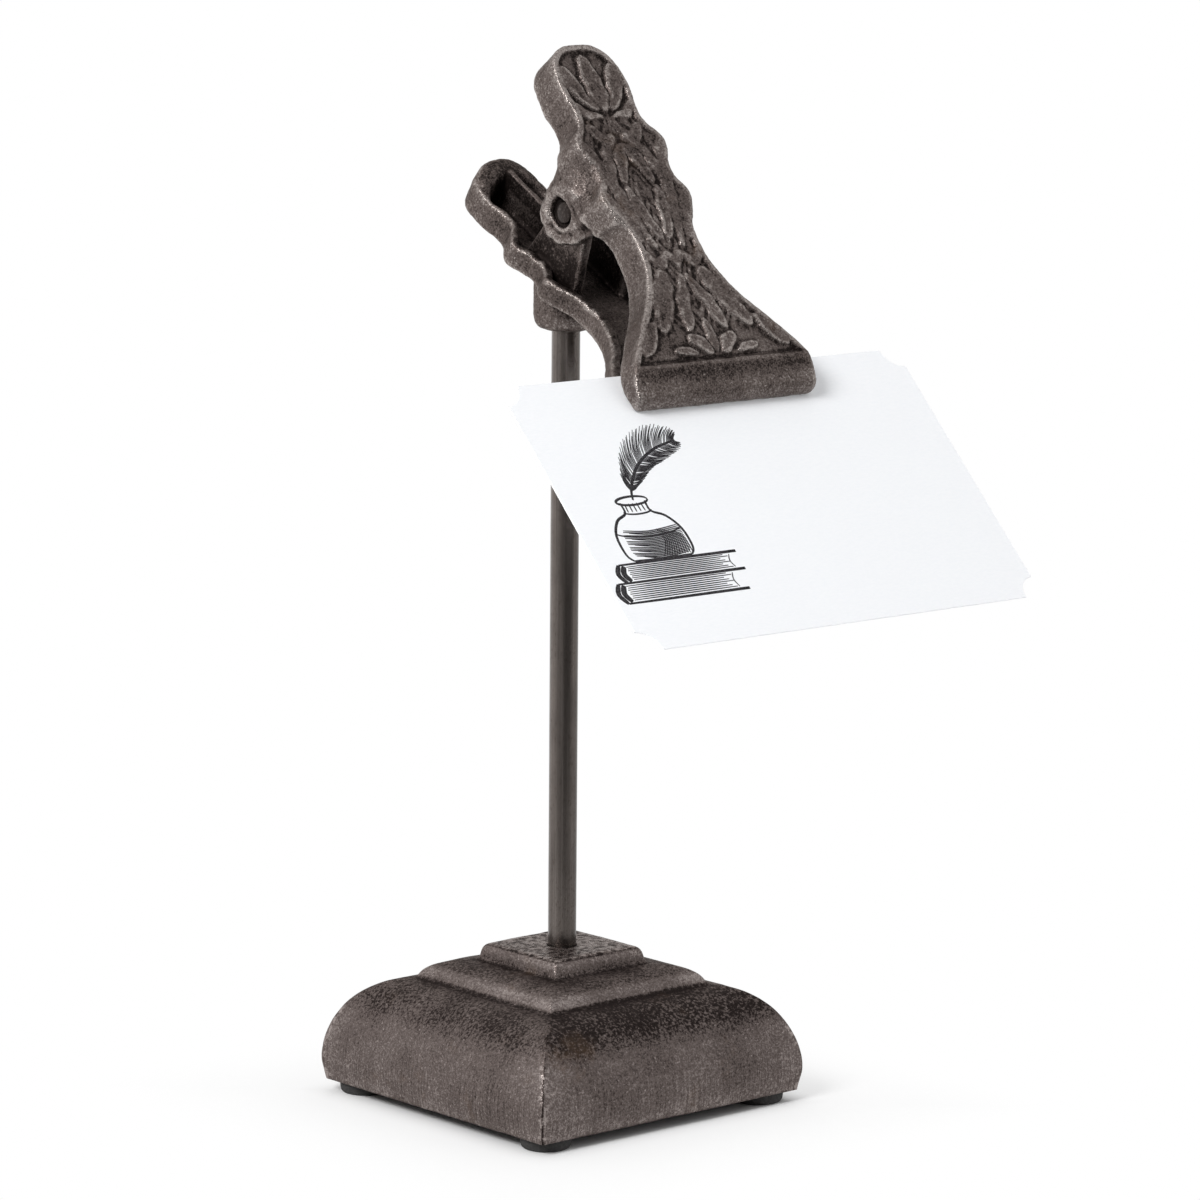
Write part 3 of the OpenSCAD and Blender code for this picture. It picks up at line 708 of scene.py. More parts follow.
def face_height(front, g):
    """Height of the outer face: border, sunk field with its ornament, groove and rounded bar."""
    border = np.maximum(g.outline + BORDER_W, BAR_H + 0.9 - g.flat_y)
    sunk = rise(-border, -0.05, 0.45)
    sunk = sunk * sunk * (3 - 2 * sunk)
    height = -FIELD_D * np.ones_like(g.flat_x)
    if front:
        height = height + half_ornament(g.flat_x, g.flat_y)
        line = rise(np.abs(g.outline + INLINE_AT), INLINE_HALF, 0)
        line *= (g.flat_y > INLINE_LOW) * (g.flat_y < share(0.78))
        height = np.maximum(height, -FIELD_D + INLINE_H * line)
    top = sunk * (height - GROOVE_D * rise(np.abs(g.flat_y - BAR_H - GROOVE_AT), GROOVE_HALF, 0))
    bend = np.clip((g.flat_y - BAR_H - 0.8) / BAR_ROUND + 0.8, 0, 0.8)
    inside_rim = rise(-g.outline, 0.9, 1.5) * (g.flat_y < BAR_H + 0.9)
    return top - BAR_ROUND * (1 - np.sqrt(1 - bend ** 2)) * inside_rim


def crown_field(g):
    """The domed inner face of the back leaf's head."""
    rise_up = CROWN_DEPTH - RIM_DEPTH + CROWN_INSET
    crown_r = (HEAD_X ** 2 + rise_up ** 2) / (2 * rise_up)
    dome = np.sqrt(g.deep_x ** 2 + (g.deep_z - crown_r + CROWN_DEPTH) ** 2) - crown_r
    head = np.maximum(g.outline, share(0.715) - g.flat_y)[:, :, None]
    return np.maximum(over(head, dome, 1.6), g.deep_z + PLATE_T / 2)


def hollow_field(front, g, hollow_end):
    """The hollow behind the outer plate, with uneven cast walls."""
    uneven = flat_noise(g.flat_x, g.flat_y, 3.1, 4.0 if front else 9.0)
    from_end = g.flat_y - hollow_end + HEAD_X
    reach = np.minimum(from_end, np.hypot(g.flat_x, from_end) - HEAD_X)
    hollow = over(g.outline + WALL_T + WALL_WAVE * uneven, GRIP_H - g.flat_y, 0.8)
    hollow = over(hollow, reach + END_WAVE * uneven, 1.5)
    return over(hollow[:, :, None], g.deep_z + PLATE_T, 0.9 if front else 1.6)


def rib_field(front, g, hollow_end):
    """The rib along the inside of the head."""
    low = (FRONT_PIVOT if front else BACK_PIVOT)[0] + RIB_CLEAR
    depth, high = (LEAF_DEPTH, LEAF_L - WALL_T) if front else (CROWN_DEPTH - CROWN_INSET, hollow_end + 1)
    rib = np.maximum((low - g.y)[:, None], -depth - g.z[None])
    rib = np.maximum(np.maximum(rib, g.z[None] + PLATE_T / 2), (g.y - high)[:, None])
    return over(g.deep_x - RIB_T / 2, rib[None], 0.3)


def knuckle_field(g):
    """The swelling on the outside of the front ear, with the bulge above it."""
    inner, outer, radius, _ = FRONT_EAR
    swell = over((from_pivot(g.side_y, g.side_z, FRONT_PIVOT) - radius)[None], g.deep_x - outer + 0.3, 3.0)
    away = [(g.deep_x - BULGE_AT[0]) / BULGE_R[0],
            (g.side_y - FRONT_PIVOT[0] - BULGE_AT[1])[None] / BULGE_R[1],
            (g.side_z - FRONT_PIVOT[1] - BULGE_AT[2])[None] / BULGE_R[2]]
    bulge = (np.sqrt(sum(a ** 2 for a in away)) - 1) * BULGE_R[0]
    return over(join(swell, bulge, 2.6), inner - g.deep_x, 0.8)


def with_socket(body, g):
    """The boss under the back leaf, with its bore for the post."""
    out = -(g.side_z + LIP_T + SEAT / math.cos(math.radians(BACK_SPLAY)))
    row_y, row_z = in_row(g.side_y, out, CARD_TILT - BACK_SPLAY)
    from_post = np.sqrt(g.deep_x ** 2 + row_y[None] ** 2)
    boss = over(from_post - BOSS_R, BOSS_LOW - row_z[None], 2 * BOSS_ROUND)
    body = join(body, np.maximum(boss, -(g.deep_z + PLATE_T - 0.5)), 1.6)
    return np.maximum(body, -np.maximum(from_post - POST_R - 0.08, row_z[None] - SOCKET_TOP))


def leaf_body(front, g, walls):
    """The field of half a leaf."""
    lip = [(LIP_ROUND - c, s - LIP_T) for c, s in (polar(LIP_ROUND, a) for a in range(0, 61, 10))]
    side = outline_field(g.side_y, g.side_z, np.array(lip + [(BAR_H, 0), (LEAF_L + BEYOND, 0)] + walls))
    top = face_height(front, g)
    grade = 1 / np.sqrt(1 + np.hypot(*np.gradient(top, LEAF_STEP)) ** 2)
    body = over(g.outline[:, :, None], side[None], 0.9)
    body = over(body, (g.deep_z - top[:, :, None]) * grade[:, :, None], 0.25)
    if not front:
        body = join(body, crown_field(g), 1.0)
    hollow_end = LEAF_L + HEAD_X if front else share(0.935)
    bowl = rise(g.flat_y, share(0.7), share(0.7) + 6)[:, :, None]
    body = over(body, -hollow_field(front, g, hollow_end), 0.5 if front else 0.8 + 3.0 * bowl)
    body = join(body, rib_field(front, g, hollow_end), 1.0)

    pivot = FRONT_PIVOT if front else BACK_PIVOT
    inner, outer, radius, spread = FRONT_EAR if front else BACK_EAR
    ear = ear_field(g.side_y, g.side_z, pivot, radius, spread, FRONT_DIP - 1 if front else BACK_DIP)
    web_out = outer - KNUCKLE_H if front else outer
    slab = np.abs(g.deep_x - (inner + web_out) / 2) - (web_out - inner) / 2
    body = join(body, over(ear[None], slab, 1.0), 2.2 if front else 1.0)
    if front:
        body = join(body, knuckle_field(g), 3.4)
    from_pin = from_pivot(g.side_y, g.side_z, pivot)[None]
    body = np.maximum(body, PIN_R + 0.12 - from_pin)
    if front:
        recess = np.maximum(from_pin - RIVET_R - 0.4, outer - RECESS_D - g.deep_x)
        return over(body, -recess, 1.3)
    return with_socket(body, g)


def front_patina_and_shade(points, inset, depth):
    """Patina and painted shade in the front leaf's hollow, a darker outer face and bar, and painted shade
    around the pin's recess.
    """
    # Dark patina and painted shade inside the hollow, less on the ear
    patina_and_shade = rise(inset, 1.3, 2.5) * rise(depth, 2.2, 3.7)
    ear = rise(depth, 7.5, 9.5) * (points[:, 1] < share(0.71))
    # A darker outer face, darkest on the bar
    face = (0.14 + 0.5 * (points[:, 1] < BAR_H + 1)) * rise(depth, 1.7, 0.9)
    # Painted shade round the pin's recess
    from_hole = from_pivot(points[:, 1], points[:, 2], FRONT_PIVOT)
    hole = rise(from_hole, RIVET_R + 0.9, RIVET_R + 0.2) * (np.abs(points[:, 0]) > FRONT_EAR[0])
    return np.maximum.reduce([patina_and_shade * (1 - 0.7 * ear), face, 1.2 * hole])


def back_patina_and_shade(points, inset, depth, walls):
    """Patina and painted shade in the back leaf's hollow, with a broken dark edge along its rim and a
    floor of 0.26 that darkens the whole leaf.
    """
    # Dark patina and painted shade inside the hollow, less on the head
    grit = noise_at(points / 1.1)
    patina_and_shade = rise(inset + 1.3 * grit, 0.7, 1.2) * rise(depth, 3.0, 4.5)
    line = np.array(walls[::-1])
    to_rim = -np.interp(points[:, 1], line[:, 0], line[:, 1]) - depth
    broken = rise(inset + 1.1 * grit, 0.55, 0.85) * rise(to_rim, 0.6, 0.3)
    on_head = rise(points[:, 1], share(0.72), share(0.72) + 8)
    patina_and_shade = np.maximum(patina_and_shade * (1 - 0.4 * on_head), broken)
    # Less on the boss, and never below 0.26, which darkens the whole back leaf
    return np.maximum(patina_and_shade * (1 - 0.75 * rise(depth, 11, 14)), 0.26)


def leaf_mesh(front):
    """One leaf's points and quads in its own frame, and how much patina and painted shade lies on each
    point.
    """
    g = Grid(front)
    walls = wall_line(front)
    body = leaf_body(front, g, walls)
    whole = np.concatenate([body[:0:-1], body]).astype(np.float32)
    points, quads = skin(whole, (-g.x[-1], g.y[0], g.z[0]), LEAF_STEP)
    column = np.clip(np.rint(np.abs(points[:, 0]) / LEAF_STEP).astype(int), 0, len(g.x) - 1)
    row = np.clip(np.rint((points[:, 1] - g.y[0]) / LEAF_STEP).astype(int), 0, len(g.y) - 1)
    inset, depth = -g.outline[column, row], -points[:, 2]
    patina_and_shade = front_patina_and_shade(points, inset, depth) if front else back_patina_and_shade(points, inset, depth, walls)
    return points, quads, patina_and_shade


def lumpy_ear(points, quads):
    """The front ear made uneven outside the pin's recess, as a rough casting is."""
    from_pin = from_pivot(points[:, 1], points[:, 2], FRONT_PIVOT)
    on_ear = rise(from_pin, 12, 8) * rise(np.abs(points[:, 0]), 10.2, 11.4)
    on_ear *= rise(from_pin, RIVET_R + 0.5, RIVET_R + 1.8)
    return roughened(points, quads, EAR_LUMPS, on_ear)


def place_leaf(points, quads, front):
    """From the leaf's own frame to the row frame."""
    splay = FRONT_SPLAY if front else -BACK_SPLAY
    out = points[:, 2] + LIP_T + SEAT / math.cos(math.radians(splay))
    if not front:
        out = -out
        quads = quads[:, ::-1]
    placed = np.stack([points[:, 0], *in_row(points[:, 1], out, CARD_TILT + splay)], 1)
    return placed, np.ascontiguousarray(quads)


def add_leaf(front, material):
    """The front leaf carries front_jaw and the back leaf back_jaw."""
    name, body, node = (("cast_front_leaf", "front_leaf", "front_jaw") if front
                        else ("cast_back_leaf", "stand", "back_jaw"))
    points, quads, patina_and_shade = leaf_mesh(front)
    if front:
        points = lumpy_ear(points, quads)
    points, quads = place_leaf(points, quads, front)
    points = roughened(points, quads, LEAF_GRIT)
    leaf = make_mesh(name, points, quads)
    add_relief(leaf, points, quads, 8, 50)
    add_attribute(leaf, "patina_and_shade", patina_and_shade)
    finish_piece(leaf, body, "jaw_iron", material, node)


# Base

def ring(half, corner, z, per_side=40, per_corner=6):
    """Rounded square ring at one height."""
    corner = min(corner, half)
    flat = half - corner
    edge = [(half, -flat + 2 * flat * i / per_side) for i in range(per_side)]
    edge += [np.add(flat, polar(corner, 90 * i / per_corner)) for i in range(per_corner)]
    return [(*turned(point, 90 * quarter), z) for quarter in range(4) for point in edge]


def arc(out, inner, low, high, wall, steps):
    """A quarter round from (out, low) in and up to (inner, high), or that line a wall further in."""
    return [(inner + (out - inner - wall) * math.cos(t), low + (high - low - wall) * math.sin(t))
            for t in np.linspace(0, math.pi / 2, steps)]


def resampled(points, step):
    """Points along a line at an even spacing."""
    p = np.array(points, float)
    length = np.concatenate([[0], np.cumsum(np.hypot(*np.diff(p, axis=0).T))])
    even = np.linspace(0, length[-1], int(length[-1] / step) + 1)
    return np.stack([np.interp(even, length, p[:, i]) for i in (0, 1)], 1)


def eased_line(points, rounds):
    """A line with its corners softened."""
    p = points.copy()
    for _ in range(rounds):
        p[1:-1] = (p[:-2] + 2 * p[1:-1] + p[2:]) / 4
    return p


def base_rings():
    """Rings from the outer foot up to the post, down through its hole and back inside the hollow."""
    foot = BASE_W / 2 - BAND_TAPER
    lower = BASE_W / 2, STEP_W / 2 + LEDGE, BAND_TOP, ROUND_TOP
    outer = [(foot, FOOT_H), *arc(*lower, 0, 40)]
    outer += arc(STEP_W / 2, CAP_W / 2 + CAP_ROUND, ROUND_TOP, STEP_TOP - CAP_FLANK, 0, 20)
    outer += arc(CAP_W / 2 + CAP_ROUND - LEDGE, CAP_W / 2 - LEDGE, STEP_TOP - CAP_FLANK, BASE_TOP, 0, 10)
    outer = eased_line(resampled([*outer, (POST_R + 0.5, BASE_TOP)], 0.5), 5)
    inner = [(foot - BASE_WALL, FOOT_H), *arc(*lower, BASE_WALL, 24)]
    inner += arc(STEP_W / 2, CAP_W / 2 + CAP_ROUND, ROUND_TOP - BASE_WALL, STEP_INSIDE, BASE_WALL, 12)
    inner = eased_line(resampled(inner, 1.4), 1)[::-1]
    hole = POST_R + 0.05
    rings = [ring(w, 0.9 if w > 14 else 0.9 + (14 - w) * 0.35, z) for w, z in outer]
    rings += [ring(w, w, z) for w, z in ((hole + 0.2, BASE_TOP - 0.1), (hole, BASE_TOP - 0.4),
                                         (hole, HUB_LOW + 0.4), (hole + 0.4, HUB_LOW))]
    rings += [ring(HUB_R - 0.4, HUB_R, HUB_LOW)]
    rings += [ring(HUB_R, HUB_R, z) for z in (HUB_LOW + 0.4, STEP_INSIDE - BASE_WALL)]
    return rings + [ring(w, 1.5, z) for w, z in inner if w > HUB_R + 1]


def add_base(material):
    """The cast shell with a round pad inside it over each foot."""
    rings = base_rings()
    points = np.concatenate(rings)
    faces = tube_faces(len(rings), len(rings[0]), True)
    points = roughened(points, faces, BASE_GRIT)
    points[:, 2] = np.maximum(points[:, 2], FOOT_H)
    obj = make_mesh("cast_base", points, faces)
    add_relief(obj, points, faces, 8, 30)
    outer, high = FOOT_R + 0.6, 16.0
    pads = [lathe("pad", [(0, FOOT_H), (outer, FOOT_H), (outer, high), (0, high)], 48,
                  at=(x * FOOT_AT, y * FOOT_AT, 0)) for x, y in sorted(FEET.values())]
    for pad in pads:
        union = obj.modifiers.new("union", "BOOLEAN")
        union.operation = "UNION"
        union.object = pad
        union.solver = "EXACT"
    bake_modifiers(obj)
    for pad in pads:
        bpy.data.objects.remove(pad)
    finish_piece(obj, "stand", "base_iron", material, "base_casting")


def bake_modifiers(obj):
    """Puts the mesh that the modifiers give in place of the old one."""
    depsgraph = bpy.context.evaluated_depsgraph_get()
    mesh = bpy.data.meshes.new_from_object(obj.evaluated_get(depsgraph))
    obj.modifiers.clear()
    obj.data = mesh


# Turned and wound pieces

def lathe(name, profile, count=64, axis="z", at=(0, 0, 0), shape=None):
    """A turned piece from (radius, along) points; shape(angle, radius) scales the radius."""
    points = []
    for radius, along in profile:
        for k in range(count):
            a = 2 * math.pi * k / count
            r = radius * (shape(a, radius) if shape else 1)
            points.append((r * math.cos(a), r * math.sin(a), along))
    faces = tube_faces(len(profile), count).tolist()
    if 0 in (profile[0][0], profile[-1][0]):
        points, faces = close_poles(points, faces, profile, count)
    points = np.array(points)
    if axis == "x":
        points = points[:, [2, 0, 1]]
    return make_mesh(name, points + np.array(at), faces)


def close_poles(points, faces, profile, count):
    """Each ring of no radius becomes one point."""
    keep, new = [], []
    for i, (radius, _) in enumerate(profile):
        number = count if radius else 1
        new += [len(keep) + k % number for k in range(count)]
        keep += points[i * count:i * count + number]
    faces = [list(dict.fromkeys(new[v] for v in face)) for face in faces]
    return keep, [face for face in faces if len(face) > 2]


def rounded(profile, radius, steps=4):
    """A profile with each inner corner rounded."""
    p = [np.array(q, float) for q in profile]
    out = [p[0]]
    for a, b, c in zip(p, p[1:], p[2:]):
        r = min(radius, np.linalg.norm(b - a) / 2.1, np.linalg.norm(c - b) / 2.1)
        start, end = b + unit(a - b) * r, b + unit(c - b) * r
        out += [bezier(start, b, end, k / steps) for k in range(steps + 1)]
    return [tuple(q) for q in [*out, p[-1]]]


def add_feet(material):
    """Four round feet, each a hair short of the base above it."""
    top = FOOT_H - 0.02
    profile = rounded([(0, 0), (FOOT_R - 0.8, 0), (FOOT_R - 0.2, 0.5), (FOOT_R, 1.8), (FOOT_R, top),
                       (0, top)], 0.5)
    for name, (x, y) in FEET.items():
        foot = lathe("pad_" + name, profile, 64, at=(x * FOOT_AT, y * FOOT_AT, 0))
        finish_piece(foot, "stand", "foot_rubber", material, "foot_" + name)


def add_post(material):
    """The round post with its chamfered ends."""
    levels = np.linspace(POST_LOW + 0.6, POST_HIGH - 0.6, 150)
    profile = [(0, POST_LOW), (POST_R - 0.5, POST_LOW)] + [(POST_R, z) for z in levels]
    profile += [(POST_R - 0.5, POST_HIGH), (0, POST_HIGH)]
    post = lathe("steel_post", profile, 72)
    finish_piece(post, "stand", "post_steel", material, "post")


def add_fixings(material):
    """Washer and nut under the base."""
    bore, half, corner = POST_R + 0.04, NUT_FLATS / 2, NUT_FLATS / math.sqrt(3)
    low, high = NUT_HIGH, WASHER_HIGH
    washer = lathe("turned_washer", rounded([(bore, low), (WASHER_R, low), (WASHER_R, high), (bore, high),
                                            (bore, low)], 0.25), 72)

    def hexagon(angle, radius):
        if radius < half - 0.7:
            return 1.0
        part = (angle + math.pi / 6) % (math.pi / 3) - math.pi / 6
        return min(half / math.cos(part), radius) / radius

    profile = [(bore + 0.5, NUT_LOW), (half - 0.3, NUT_LOW), (corner, NUT_LOW + 0.9),
               (corner, NUT_HIGH - 0.9), (half - 0.3, NUT_HIGH), (bore + 0.5, NUT_HIGH),
               (bore, NUT_HIGH - 0.5), (bore, NUT_LOW + 0.5), (bore + 0.5, NUT_LOW)]
    nut = lathe("hexagon_nut", profile, 96, shape=hexagon)
    for piece, node in ((washer, "base_washer"), (nut, "base_nut")):
        finish_piece(piece, "stand", "fixings", material, node)
        weld(piece)


def weld(obj):
    """Joins the points where a turned profile closes on itself."""
    merge = obj.modifiers.new("weld", "WELD")
    merge.merge_threshold = 0.000002
    bake_modifiers(obj)


def add_pin(material):
    """The pin through the ears, with a domed rivet head at both ends."""
    half = FRONT_EAR[1] - RECESS_D + 0.1
    reach = RIVET_R - 0.5
    side = [(reach * math.cos(t), half + RIVET_H * (0.25 + 0.75 * math.sin(t)))
            for t in np.linspace(0, math.pi / 2, 9)]
    side = [(reach, half)] + side[:-1] + [(0, half + RIVET_H)]
    profile = [(r, -h) for r, h in side[::-1]] + [(PIN_R, -half), (PIN_R, half)] + side
    pin = lathe("riveted_pin", profile, 64, axis="x", at=PIVOT)
    finish_piece(pin, "stand", "pin_steel", material, "pivot_pin")


def spring_foot(pivot, sign, tilt, down):
    """A point of a leg inside a leaf, seen from the side and from the pivot: forwards and up."""
    return turned((pivot[0] - SPRING_REACH, -sign * (PLATE_T + SPRING_SEAT + down + pivot[1])), -tilt)


def spring_leg(foot, knee, last, across):
    """A leg from its foot round the bend at its knee and on to the coil."""
    tangent = np.array(last[:2])
    a, b = foot + (knee - foot) * 0.55, knee + unit(tangent - knee) * 1.4
    bend = [foot, a] + [bezier(a, knee, b, t) for t in (0.1, 0.3, 0.5, 0.7, 0.9)]
    bend += [knee + (tangent - knee) * t for t in (0.12, 0.35, 0.6, 0.85)]
    return [(*p, across) for p in bend]


def spring_path():
    """Points of the wire: forwards, up, across, from the pivot."""
    back = [spring_foot(BACK_PIVOT, -1, CARD_TILT - BACK_SPLAY, down) for down in (0, FOOT_RUN)]
    front = [spring_foot(FRONT_PIVOT, 1, CARD_TILT + FRONT_SPLAY, down) for down in (0, FOOT_RUN)]

    def bearing(p, side):
        """Where the line from p touches the coil."""
        swing = math.degrees(math.acos(COIL_R / np.linalg.norm(p)))
        return math.degrees(math.atan2(p[1], p[0])) + side * swing

    start, stop = bearing(back[1], 1), bearing(front[1], -1)
    sweep = 360 * COIL_TURNS + (stop - start) % 360
    width = COIL_PITCH * sweep / 360
    steps = int(sweep / 12)
    coil = [(*polar(COIL_R, start + sweep * i / steps), width * (0.5 - i / steps))
            for i in range(steps + 1)]
    first = spring_leg(*back, coil[0], width / 2)
    final = spring_leg(*front, coil[-1], -width / 2)
    return np.array(first + coil + final[::-1]), width


def tube(path, radius, sides):
    """Round wire along a path, with its ends closed."""
    side = np.array([0, 0, 1.0])
    points = []
    for p, ahead in zip(path, np.gradient(path, axis=0)):
        ahead = unit(ahead)
        side = unit(side - (side @ ahead) * ahead)
        other = np.cross(ahead, side)
        for k in range(sides):
            a = 2 * math.pi * k / sides
            points.append(p + radius * (math.cos(a) * side + math.sin(a) * other))
    return np.array(points), capped_faces(len(path), sides)


def add_spring(material):
    """The wound spring, from a foot inside the back leaf round its coil to a foot inside the front leaf.
    """
    path, width = spring_path()
    points, faces = tube(path, WIRE_R, 20)
    placed = np.stack([points[:, 2], -points[:, 0], points[:, 1]], 1) + np.array(PIVOT)
    spring = make_mesh("wound_spring", placed, faces)
    spring.data.flip_normals()
    spring.data.materials.append(material)
    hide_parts("torsion_spring")
    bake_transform(spring)


# Card

def card_point(x, y, out):
    """From the card's frame (across, up, forwards) to the row frame."""
    return x, *in_row(y, out, CARD_TILT)


def card_outline(inset):
    """The card's outline with a round notch at each corner."""
    top, low, wide = CARD_IN - inset, CARD_IN - CARD_H + inset, CARD_W / 2 - inset
    corners = ((wide, low, 180), (wide, top, 270), (-wide, top, 0), (-wide, low, 90))
    return [np.add((x, y), polar(NOTCH_R, first - 7.5 * k)) for x, y, first in corners for k in range(13)]


def add_card(material):
    """The card as a thin plate with eased edges."""
    outside = CARD_T / 2
    layers = ((CARD_EDGE, -outside), (0, CARD_EDGE - outside), (0, outside - CARD_EDGE),
              (CARD_EDGE, outside))
    points = [card_point(x, y, out) for inset, out in layers for x, y in card_outline(inset)]
    faces = capped_faces(len(layers), len(points) // len(layers))
    card = make_mesh("note_card", points, faces, smooth=False)
    finish_piece(card, "card", "card_stock", material, "memo_card")


def directions(line):
    """The direction of a flat line at each of its points."""
    ahead = np.gradient(line, axis=0)
    return ahead / np.maximum(np.linalg.norm(ahead, axis=1), 1e-9)[:, None]


def feather(draw):
    """A feather that stands in the inkwell: its shaft and the barbs on both sides."""
    shaft = smooth_curve([(0.5, 27.4), (2.2, 31.0), (7.4, 36.6), (14.6, 40.6), (22.5, 42.6)], 24)
    draw(shaft, 0.8, 0)
    ahead = directions(shaft)
    first, last = 18, len(shaft) - 2
    for k in range(first, last):
        size = 6.8 * math.sin(math.pi * (0.1 + 0.86 * (k - first) / (last - first))) ** 0.7
        for side in (-1, 1):
            if (k * 7 + side * 3) % 23 < 3:
                continue
            across = np.array([-ahead[k][1], ahead[k][0]]) * side
            width = size * (1.0 if side > 0 else 0.72) * (1 + 0.12 * math.sin(k * 1.9 + side))
            middle = shaft[k] + (across * 0.45 + ahead[k] * 0.42) * width
            draw([shaft[k], middle, shaft[k] + (across * 0.78 + ahead[k]) * width], 0.24)


def books(draw):
    """Two books that lie on one another, with their pages to the right."""
    for left, right, low, high in ((-18.5, 17.5, 0, 5.4), (-15.5, 19.5, 5.4, 10.4)):
        middle = (low + high) / 2
        for v, v_end in ((high, high - 0.01), (low, low + 0.01)):
            draw([(left + 1.4, v), (right, v), (right, v_end)], 0.8)
        draw([(left + 1.4, high), (left, middle), (left + 1.4, low)], 1.4)
        draw([(left + 2.8, high - 0.4), (left + 1.7, middle), (left + 2.8, low + 0.4)], 1.6)
        for k in range(8):
            v = low + 0.8 + k * (high - low - 1.5) / 7
            draw([(left + 3.6 - 0.3 * (k % 2), v), (right - 0.8 - 1.3 * (k % 3), v + 0.05)], 0.36)
        draw([(right - 0.2, high - 0.7), (right - 0.9, middle), (right - 0.2, low + 0.7)], 0.35)


def inkwell(draw):
    """A round bottle with its shading."""
    def oval(v, wide, high, width, first=0):
        angles = np.radians(np.linspace(first, 360, 14))
        draw([(wide * math.cos(a), v + high * math.sin(a)) for a in angles], width, 2)

    body = [(8.8, 11.0), (10.2, 13.0), (10.0, 18.2), (7.4, 22.2), (3.9, 24.0), (3.8, 27.0)]
    draw(body, 0.75)
    draw([(-u, v) for u, v in body], 0.75)
    draw([(-8.8, 11.0), (0, 10.7), (8.8, 11.0)], 0.8)
    oval(27.3, 4.8, 1.2, 0.7)
    oval(24.4, 4.2, 0.9, 0.5, 180)
    oval(19.0, 9.7, 1.7, 0.5, 180)
    for k in range(19):
        v = 11.6 + 0.42 * k
        reach = np.interp(v, [q[1] for q in body], [q[0] for q in body]) - 0.5
        draw([(-reach + (1.6 if k % 4 else 3.4), v + 0.3), (0, v - 0.55), (reach, v + 0.3)], 0.36)
    for k in range(12):
        draw([(0.6 + 0.8 * k, 11.4), (3.2 + 0.55 * k, 15.4), (2.6 + 0.5 * k, 19.0 - 0.15 * k)], 0.34)
    for k in range(6):
        draw([(-2.8 + 1.3 * k, 24.2), (-2.6 + 1.2 * k, 26.6)], 0.4)


def ink_strokes():
    """A feather pen in an inkwell on two books: (points, width), from the middle of their foot."""
    strokes = []

    def draw(points, width, steps=4):
        strokes.append((smooth_curve(points, steps) if steps else points, width))

    for figure in (books, inkwell, feather):
        figure(draw)
    return strokes


def add_drawing(material):
    """Flat ink lines lying on the card, each a little above the one before."""
    points, faces = [], []
    for number, (line, width) in enumerate(ink_strokes()):
        taper = 0.45 + 0.55 * np.sqrt(np.sin(math.pi * np.linspace(0.04, 0.96, len(line))))
        out = CARD_T / 2 + INK_LIFT + INK_LAYER * number
        first = len(points)
        for place, (du, dv), part in zip(line + DRAWING_AT, directions(line), taper):
            aside = np.array([-dv, du]) * width * part / 2
            points += [card_point(*(place - aside), out), card_point(*(place + aside), out)]
        faces += [(a, a + 1, a + 3, a + 2) for a in range(first, len(points) - 2, 2)]
    drawing = make_mesh("ink_drawing", points, faces, smooth=False)
    drawing.data.flip_normals()
    finish_piece(drawing, "card", "card_stock", material)


# Floor and light

# Directions from the object towards the side that the camera stands on and to the camera's right
STUDIO_FRONT, STUDIO_RIGHT = (-0.65, -0.742, 0.163), (0.752, -0.659, 0.0)
WALL_LIGHT, DARK_SIDE, LEFT_WALL, RIGHT_WALL = 0.78, 0.08, 1.08, 0.8
FLOOR_SIZE = 4000


def add_floor():
    """A white floor that glows for the camera, with a soft dark rim close to the base."""
    corners = [(x * FLOOR_SIZE, y * FLOOR_SIZE, 0) for x, y in ((-1, -1), (1, -1), (1, 1), (-1, 1))]
    floor = make_mesh("floor", corners, [(0, 1, 2, 3)], smooth=False)
    s = Shader("floor_white")
    rays = s.node("ShaderNodeLightPath").outputs
    seen = s.largest(rays["Is Camera Ray"], rays["Is Glossy Ray"], rays["Is Transmission Ray"])
    tone = s.mix(s.noise(3, 2), (0.86, 0.86, 0.86), (0.88, 0.88, 0.88))
    paint = s.node("ShaderNodeBsdfDiffuse", Color=tone).outputs["BSDF"]
    place = s.parts(s.where)
    apart = s.largest(s.size(place["X"]), s.size(place["Y"]))
    forward, beside = s.towards(STUDIO_FRONT), s.towards(STUDIO_RIGHT)
    mirrored_dim = s.total(s.ramp(forward, 0.1, 0.4, 0.0, 0.68), s.ramp(beside, -0.1, 0.12, 0.0, 0.2),
                           s.ramp(beside, -0.2, -0.6, 0.0, -0.4))
    glow = s.math("SUBTRACT", 1.0, s.product(rays["Is Glossy Ray"], mirrored_dim))
    clear = s.total(s.ramp(apart, 0.038, 0.049, 0.0, 0.56), s.ramp(apart, 0.045, 0.09, 0.0, 0.44))
    both = s.node("ShaderNodeMixShader", Fac=s.product(seen, clear))
    s.put(both.inputs[1], paint)
    s.put(both.inputs[2], s.node("ShaderNodeEmission", Strength=glow).outputs["Emission"])
    s.finish(both.outputs[0])
    floor.data.materials.append(s.material)


def add_lamp(name, place, target, size, watts):
    """A round area lamp; places in metres."""
    data = bpy.data.lights.new(name, "AREA")
    data.shape = "DISK"
    data.size = size
    data.energy = watts
    lamp = bpy.data.objects.new(name, data)
    scene.collection.objects.link(lamp)
    lamp.location = place
    lamp.rotation_euler = (Vector(target) - Vector(place)).to_track_quat("-Z", "Y").to_euler()


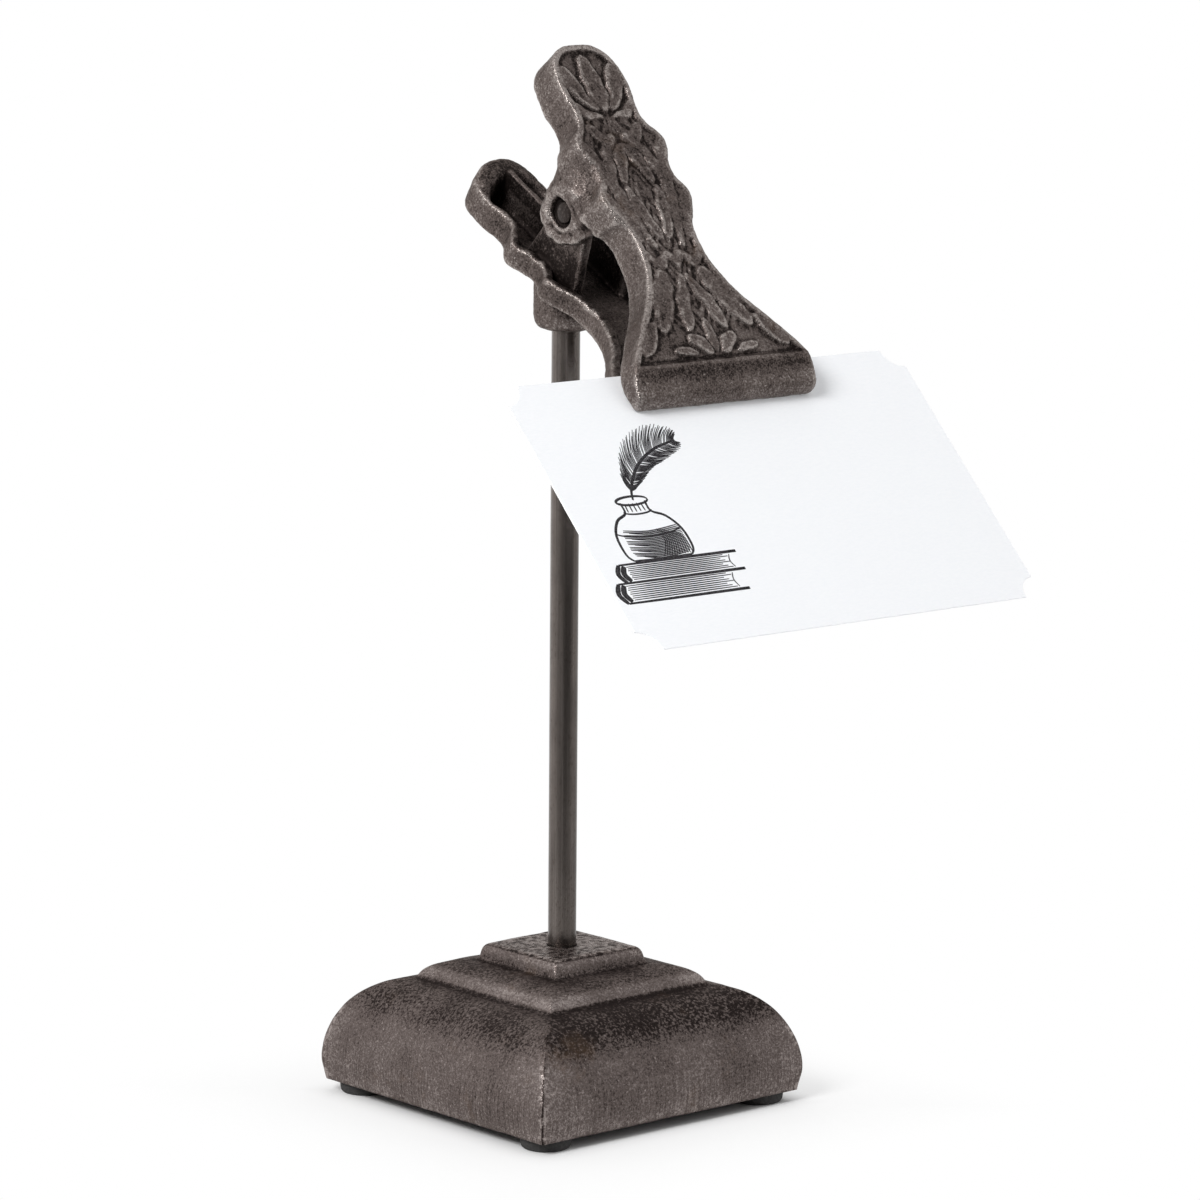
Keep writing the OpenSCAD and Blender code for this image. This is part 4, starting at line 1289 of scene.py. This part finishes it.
def add_light():
    """Bright studio walls at the sides and back, with the dark side that the camera stands on."""
    world = bpy.data.worlds.new("studio")
    scene.world = world
    world.use_nodes = True
    s = Nodes(world.node_tree, "ShaderNodeOutputWorld", "Generated")
    rays = s.node("ShaderNodeLightPath").outputs
    wall = s.ramp(rays["Is Glossy Ray"], 0, 1, WALL_LIGHT, 1.0, "LINEAR")
    right_wall = s.ramp(rays["Is Glossy Ray"], 0, 1, 1.0, RIGHT_WALL, "LINEAR")
    around = s.product(s.ramp(s.towards(STUDIO_FRONT), 0.1, 0.85, wall, DARK_SIDE),
                       s.ramp(s.towards(STUDIO_RIGHT), -0.2, 0.7, LEFT_WALL, right_wall, "LINEAR"))
    direct = s.largest(rays["Is Camera Ray"], rays["Is Transmission Ray"])
    strength = s.ramp(direct, 0, 1, around, 1.0, "LINEAR")
    s.finish(s.node("ShaderNodeBackground", Color=(1, 1, 1, 1), Strength=strength).outputs[0])
    add_lamp("key", (-1.9, -0.45, 1.6), (0, 0, 0.1), 1.0, 47)
    add_lamp("fill", (0.9, -1.9, 1.0), (0, 0, 0.1), 1.4, 4)


add_camera()
scene.view_settings.view_transform = "Standard"
add_floor()
add_light()
jaw_iron = iron("jaw_iron", (0.116, 0.093, 0.085), (0.014, 0.01, 0.009), (0.36, 0.32, 0.3))
base_iron = iron("base_iron", (0.12, 0.096, 0.089), (0.016, 0.011, 0.01), (0.32, 0.275, 0.26), True)
steel = drawn_steel("post_steel", (0.128, 0.11, 0.1), (0.05, 0.036, 0.028), (0.22, 0.195, 0.18), 0.2)
fixing_steel = drawn_steel("fixings", (0.2, 0.18, 0.165), (0.06, 0.05, 0.045), (0.34, 0.31, 0.29),
                           0.42, False)
pin_steel = drawn_steel("pin_steel", (0.04, 0.031, 0.028), (0.012, 0.009, 0.008), (0.14, 0.12, 0.11),
                        0.34, False)
wire_steel = drawn_steel("spring_wire", (0.16, 0.145, 0.135), (0.05, 0.042, 0.038), (0.3, 0.28, 0.26),
                         0.34, False)
add_leaf(True, jaw_iron)
add_leaf(False, jaw_iron)
add_base(base_iron)
add_feet(rubber())
add_post(steel)
add_fixings(fixing_steel)
add_pin(pin_steel)
add_spring(wire_steel)
add_card(card_paper())
add_drawing(ink())
